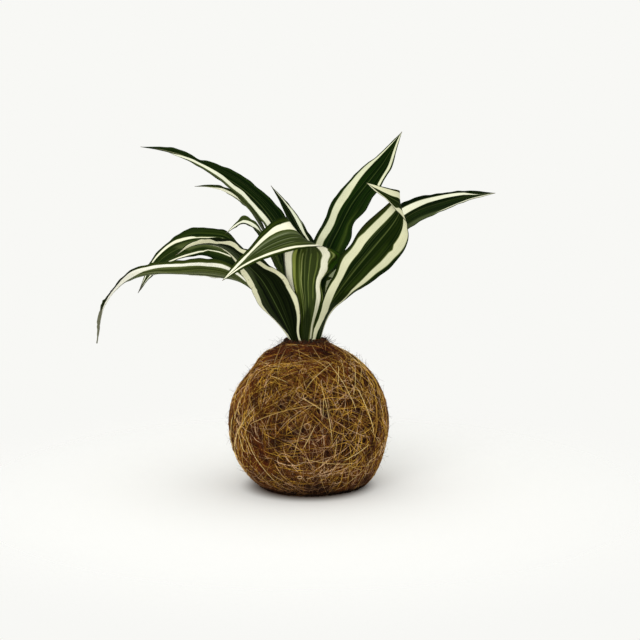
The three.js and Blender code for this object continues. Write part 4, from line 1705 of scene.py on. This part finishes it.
def front_folded() -> LeafBlade:
    """Sets the leaf that faces the front and folds over to the left.

    Returns:
        The leaf, which is still to be built.
    """
    return LeafBlade(
        "leaf_front_folded", azimuth=-88, ring=9.2, foot=4.5, half=19.5, broadest=0.42, taper=1.3,
        channel=0.5, wave=0.3,
        spine=[(0, -12, 125), (0, -16, 142), (1, -21, 158), (2, -26, 167), (0, -31, 173), (-5, -36, 177),
               (-14, -42, 177.5), (-27, -49, 172.5), (-41, -55, 163), (-55, -61, 150.5)],
        across=[(1, 0, 0), (0.95, 0, -0.32), (0.75, -0.05, -0.65), (0.6, -0.2, -0.75), (0.5, -0.3, -0.8)],
        finish=LeafFinish(
            stripes=(
                # Painted sheen: the olive-grey and pale grey stripes over the drooping end stand for the
                # sheen of the light on its upper side.
                Stripe(((50, -40, 80), (100, -40, 80)), srgb(56, 66, 32), 0.5, 0.2),
                Stripe(((50, 20, 15), (56, -35, -5), (70, -38, -5), (80, -35, 5),
                        (90, -10, 20)), srgb(116, 126, 90), 0.5, 0.1),
                Stripe(((52, 20, 10), (60, 10, 16), (80, 12, 18),
                        (90, 14, 10)), srgb(150, 158, 122), 0.6, 0.02),
                Stripe(((54, -10, -20), (62, -20, -15), (80, -18, -12),
                        (88, -10, -15)), srgb(164, 172, 136), 0.6, 0.02),
                Stripe(((56, 40, 30), (64, 34, 40), (78, 32, 37),
                        (84, 30, 25)), srgb(140, 148, 112), 0.6, 0.02),
                Stripe(((10, -25, -35), (20, -56, -30), (30, -56, -30), (40, -52, -28),
                        (46, -40, -36)), srgb(92, 104, 40), 0.4, 0.07),
                # Painted shade: this dark stripe darkens the leaf's foot as the shade among the other leaves'
                # feet.
                Stripe(((0, -90, 60), (10, -70, 50), (16, -30, 30),
                        (24, 10, -10)), srgb(10, 20, 3), 0.75, 0.15),
                Stripe(((20, -60, -64), (25, -66, -52), (40, -66, -48),
                        (46, -50, -45)), YELLOW_GREEN, 0.75, 0.03),
                Stripe(((10, -25, -30), (16, -28, -24), (30, -33, -27), (42, -30, -25),
                        (48, -20, -25)), srgb(176, 184, 112), 0.8, 0.02),
                Stripe(((10, 3, -3), (18, -3, 2), (30, -4, 2), (44, 0, 5),
                        (48, 10, 4)), srgb(122, 138, 66), 0.8, 0.02),
                Stripe(((14, 30, 20), (22, 22, 32), (30, 30, 44), (46, 16, 24),
                        (50, 20, 15)), srgb(112, 126, 60), 0.75, 0.03),
                Stripe(((36, 60, 60), (40, 62, 70), (45, 60, 70), (50, 68, 80),
                        (54, 80, 80)), srgb(140, 154, 84), 0.75, 0.03),
                Stripe(((35, 90, 85), (40, 72, 120), (50, 80, 120), (54, 95, 90)), srgb(30, 58, 6), 0.8),
                Stripe(((16, -95, -100), (20, -98, -90), (24, -120, -68), (28, -120, -65), (40, -100, -63),
                        (50, -93, -50), (55, -84, -36), (62.5, -70, -35), (67, -72, -40), (71, -68, -41),
                        (79, -68, -35), (83, -60, -27), (87.5, -52, -5), (92, -45, 10), (100, -45, 10))),
                Stripe(((0, 60, 90), (8, 45, 70), (17, 43, 73), (25, 50, 82), (29, 55, 90), (33, 50, 90),
                        (42, 35, 62), (45, 34, 58), (48, 30, 60), (51, 26, 68), (54, 55, 90), (58, 78, 98),
                        (61, 76, 93), (65, 70, 88), (75, 60, 80), (80, 57, 76), (83, 50, 72),
                        (87.5, 43, 68), (92, 30, 60), (100, 20, 50))),
                Stripe(((0, 30, 100), (10, 35, 80), (16, 40, 70),
                        (22, 50, 60)), srgb(122, 126, 74), 0.45, 0.06),
            ),
            dark=srgb(16, 30, 1), mid=srgb(54, 66, 16), cream=srgb(242, 240, 214), lines=0.5, comb=14.0,
        ),
        nicks=(Nick(Edge.FIRST, 0.83, 0.11, 0.39), Nick(Edge.SECOND, 0.86, 0.08, 0.1),
               Nick(Edge.SECOND, 0.48, 0.045, -0.3), Nick(Edge.SECOND, 0.295, 0.07, 0.44)),
        seed=7.7, rows=150,
    )


def back_upright() -> LeafBlade:
    """Sets the short upright leaf at the back.

    Returns:
        The leaf, which is still to be built.
    """
    return LeafBlade(
        "leaf_back_upright", azimuth=85, ring=9.2, foot=3.1, half=7.5, broadest=0.45, taper=1.7,
        channel=0.5, wave=0.3,
        spine=[(1, 15, 128), (2, 28, 153), (-3, 35, 168), (-10, 41, 181), (-18, 46, 194), (-27, 49, 206)],
        across=[(-1, 0, 0), (-1, -0.1, 0), (-0.95, -0.2, 0)],
        finish=LeafFinish(
            stripes=(
                Stripe(((0, -60, -30), (60, -54, -38), (65, -54, -22), (69, -62, -17), (73, -72, -22),
                        (78, -80, -30), (82, -78, -34), (86, -70, -32), (100, -60, -30))),
                Stripe(((68, -82, -86), (73, -86, -78), (83, -88, -78), (88, -84, -86)), strength=0.7),
            ),
            dark=srgb(4, 14, 1), mid=srgb(20, 34, 6), cream=srgb(226, 230, 204), lines=0.1,
        ),
        nicks=(Nick(Edge.FIRST, 0.66, 0.04, 0.12),),
        seed=8.3, rows=90, strips=14,
    )


def tall_right() -> LeafBlade:
    """Sets the tall leaf that stands up to the right.

    Returns:
        The leaf, which is still to be built.
    """
    return LeafBlade(
        "leaf_tall_right", azimuth=40, ring=7.9, foot=3.9, half=13.5, broadest=0.5, taper=1.7, channel=0.35,
        wave=1,
        spine=[(4, 7, 124), (9, 11, 143), (14, 17, 163), (22, 22, 179), (30, 28, 194), (41, 35, 208),
               (53, 43, 223), (66, 51, 244)],
        across=[(-0.9, 0.4, 0), (-0.93, 0.3, 0.2), (-0.88, 0.35, 0.4), (-0.85, 0.4, 0.4)],
        finish=LeafFinish(
            stripes=(
                Stripe(((35, -80, -40), (45, -74, -34), (52, -75, -36), (60, -60, -40),
                        (75, -50, -48)), srgb(60, 78, 24), 0.6, 0.1),
                Stripe(((0, 35, 80), (42, 43, 82), (46, 36, 80), (50, 37, 80), (54, 42, 80), (58, 40, 80),
                        (62.5, 40, 83), (67, 47, 87), (71, 54, 88), (79, 60, 91), (83, 66, 91),
                        (87.5, 70, 90), (92, 65, 85), (100, 50, 60))),
                Stripe(((70, -86, -90), (74, -89, -67), (79, -88, -63), (83, -86, -57), (87.5, -85, -50),
                        (92, -84, -38), (96, -80, -20), (100, -70, 0))),
                Stripe(((20, -90, -85), (22.5, -120, -60), (25, -120, -50),
                        (26, -90, -88)), srgb(190, 196, 158), 0.95),
                Stripe(((26.5, -90, -88), (27, -120, -50), (30, -120, -85),
                        (31, -100, -100)), srgb(176, 186, 146), 0.95),
            ),
            # Painted shade: this cream is a greyer copy of the other leaves' cream, for the dimmer light on
            # this blade.
            dark=srgb(2, 16, 0), mid=srgb(18, 38, 3), cream=srgb(208, 210, 178), lines=0.07, rib=0.12,
        ),
        nicks=(Nick(Edge.FIRST, 0.515, 0.05, 0.34), Nick(Edge.SECOND, 0.5, 0.05, 0.07),
               Nick(Edge.FIRST, 0.67, 0.03, 0.1), Nick(Edge.SECOND, 0.78, 0.08, -0.24),
               Nick(Edge.FIRST, 0.85, 0.05, -0.24)),
        seed=9.1,
    )


def broad_right() -> LeafBlade:
    """Sets the broad leaf in front, at the right, whose end folds back.

    Returns:
        The leaf, which is still to be built.
    """
    return LeafBlade(
        "leaf_broad_right", azimuth=-36, ring=10.5, foot=5.4, half=16, broadest=0.52, taper=1.45,
        channel=0.25, wave=0.6,
        spine=[(11, -14, 123), (19, -22, 137), (32, -28, 155), (44, -32, 170), (55, -36, 184),
               (60, -40, 193), (60, -45, 199), (54, -50, 203), (46, -53, 208), (38, -55, 213)],
        across=[(0.65, 0.7, -0.2), (0.85, 0.2, -0.5), (0.8, 0, -0.6), (0.7, 0, -0.7), (0.1, 0, -1),
                (-0.2, 0, -1)],
        finish=LeafFinish(
            stripes=(
                Stripe(((25, 40, 35), (32, 25, 60), (50, 20, 50), (60, 20, 45),
                        (66, 30, 25)), srgb(58, 76, 22), 0.35, 0.1),
                Stripe(((50, -120, -90), (62, -120, -80), (80, -120, -80)), srgb(44, 42, 16), 0.5, 0.05),
                Stripe(((0, -120, -60), (6, -110, -40), (8, -90, -22), (12.5, -66, 16), (17, -66, 26),
                        (21, -84, 6), (25, -90, -12), (29, -84, -22), (33, -80, -29), (37.5, -79, -33),
                        (46, -80, -37), (50, -84, -41), (54, -84, -43), (58, -76, -41), (62.5, -74, -39),
                        (70, -75, -37), (75, -79, -33), (79, -82, -35), (83, -85, -34), (95, -90, -12),
                        (100, -90, 30))),
                Stripe(((0, 60, 95), (20, 75, 98), (25, 80, 95), (29, 76, 88), (33, 66, 84), (37.5, 60, 83),
                        (46, 55, 81), (50, 54, 83), (58, 56, 89), (60, 60, 91), (62.5, 51, 92),
                        (67, 53, 94), (71, 52, 96), (79, 44, 98), (83, 50, 100), (85, 78, 120),
                        (88, 82, 120), (92, 74, 120), (100, 30, 120))),
            ),
            # Painted shade: this cream is a greyer copy of the other leaves' cream, for the dimmer light on
            # this blade.
            dark=srgb(8, 23, 1), mid=srgb(32, 43, 6), cream=srgb(202, 202, 168), lines=0.16,
        ),
        nicks=(Nick(Edge.FIRST, 0.36, 0.06, 0.2), Nick(Edge.FIRST, 0.5, 0.055, 0.2),
               Nick(Edge.FIRST, 0.23, 0.12, 0.32), Nick(Edge.SECOND, 0.905, 0.045, 0.42),
               Nick(Edge.SECOND, 0.3, 0.09, 0.19), Nick(Edge.SECOND, 0.68, 0.16, -0.24)),
        seed=10.7, rows=150,
    )


def side_right() -> LeafBlade:
    """Sets the leaf that reaches out to the right.

    Returns:
        The leaf, which is still to be built.
    """
    return LeafBlade(
        "leaf_side_right", azimuth=24, ring=9.2, foot=4, half=12, broadest=0.55, taper=1.7, channel=0.35,
        wave=0.4,
        spine=[(14, 7, 122), (30, 12, 146), (45, 17, 164), (60, 22, 179), (75, 27, 189), (94, 33, 195),
               (112, 38, 199), (132, 43, 201)],
        across=[(-0.3, 0.9, 0.3), (-0.3, 0.7, 0.6), (-0.2, 0.7, 0.7), (-0.1, 0.7, 0.7)],
        finish=LeafFinish(
            stripes=(
                Stripe(((20, -120, -50), (60, -120, -50), (72, -120, -60),
                        (84, -120, -90)), srgb(74, 84, 50), 0.8, 0.1),
                Stripe(((0, 30, 70), (60, 22, 72), (67, 25, 71), (71, 32, 73), (79, 39, 78), (83, 36, 76),
                        (87, 33, 70), (93, 5, 10))),
                Stripe(((70, -93, -96), (76, -94, -84), (84, -93, -76), (90, -92, -64), (96, -90, -45),
                        (100, -80, -20))),
            ),
            # Painted shade: this cream is a greyer copy of the other leaves' cream, for the dimmer light on
            # this blade.
            dark=srgb(3, 14, 1), mid=srgb(20, 35, 5), cream=srgb(226, 227, 202), lines=0.12, rib=0.12,
        ),
        nicks=(Nick(Edge.SECOND, 0.75, 0.1, 0.04),),
        seed=11.9,
    )


def all_leaves() -> list[LeafBlade]:
    """Gives the eleven open leaves."""
    return [long_left(), slim_left(), small_arch(), arching_left(), drooping_left(), front_left(),
            front_folded(), back_upright(), tall_right(), broad_right(), side_right()]


@dataclass
class Studio:
    """The plain pale floor, the soft white light and the camera."""

    white: Colour = srgb(248, 248, 245)
    floor_radius: float = 1.6
    floor_albedo: Colour = (0.93, 0.93, 0.915)
    fade_radius: tuple[float, float] = (0.06, 0.32)
    painted_shadow_radius: tuple[float, float] = (0.03, 0.05)
    painted_contact_shadow: Colour = srgb(120, 104, 92)
    lamp_size: tuple[float, float] = (1.2, 1.0)
    lamp_energy: float = 15.0
    lamp_place: Triple = (-0.45, -1.5, 0.62)
    lamp_aim: Triple = (0.0, 0.0, 0.12)
    camera_place: Triple = (0.0079, -1.0287, 0.2609)
    camera_tilt: float = 82.0
    lens: float = 85.0

    def build(self) -> None:
        """Sets up the surroundings."""
        self._surround()
        self._floor()
        self._lights()
        self._camera()

    def _surround(self) -> None:
        """Makes an even white world."""
        world = bpy.data.worlds.new("studio_white")
        world.use_nodes = True
        background = world.node_tree.nodes["Background"]
        background.inputs["Color"].default_value = (*self.white, 1.0)
        background.inputs["Strength"].default_value = 1.0
        bpy.context.scene.world = world
        bpy.context.scene.view_settings.view_transform = "Standard"
        bpy.context.scene.view_settings.look = "None"

    def _floor(self) -> None:
        """Lays a pale floor with a painted shadow round the ball's foot, which fades into the white at its
        rim.
        """
        deselect()
        bpy.ops.mesh.primitive_circle_add(vertices=96, radius=self.floor_radius, fill_type="TRIFAN")
        floor = bpy.context.object
        floor.name = "studio_floor"
        shader = Shader("floor_white")
        length = shader.node("ShaderNodeVectorMath", {"operation": "LENGTH"}, {0: shader.here()})
        distance = Value(shader, length.outputs["Value"])
        faded = 1.0 - shader.smooth(distance, *self.fade_radius)
        # Painted shadow: the floor is tinted darker in a disc round the ball's foot.
        under = 1.0 - shader.smooth(distance, *self.painted_shadow_radius)
        colour = shader.mix(under, self.floor_albedo, self.painted_contact_shadow)
        surface = shader.surface(colour, 0.9, Alpha=faded, Specular_IOR_Level=0.0)
        floor.data.materials.append(shader.done(surface))

    def _lights(self) -> None:
        """Stands a large soft lamp in front of the plant, up and to the left."""
        lamp = bpy.data.lights.new("soft_lamp", "AREA")
        lamp.shape = "RECTANGLE"
        lamp.size, lamp.size_y = self.lamp_size
        lamp.energy = self.lamp_energy
        holder = bpy.data.objects.new("soft_lamp", lamp)
        holder.location = self.lamp_place
        aim = Vector(self.lamp_aim) - Vector(self.lamp_place)
        holder.rotation_euler = aim.to_track_quat("-Z", "Y").to_euler()
        bpy.context.scene.collection.objects.link(holder)

    def _camera(self) -> None:
        """Sets the camera at the photograph's viewing angle."""
        camera = bpy.data.cameras.new("camera")
        camera.lens = self.lens
        camera.sensor_width = 36.0
        camera.clip_end = 20.0
        holder = bpy.data.objects.new("camera", camera)
        holder.location = self.camera_place
        holder.rotation_euler = (math.radians(self.camera_tilt), 0.0, 0.0)
        bpy.context.scene.collection.objects.link(holder)
        bpy.context.scene.camera = holder


def main() -> None:
    """Builds the pieces in order."""
    logging.basicConfig(level=logging.INFO, format="%(message)s")
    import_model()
    Studio().build()
    form = BallForm()
    CoirBall(form).build()
    SoilBall(form).build()
    Cane().build()
    RolledLeaf().build()
    for leaf in all_leaves():
        leaf.build()


if __name__ == "__main__":
    main()
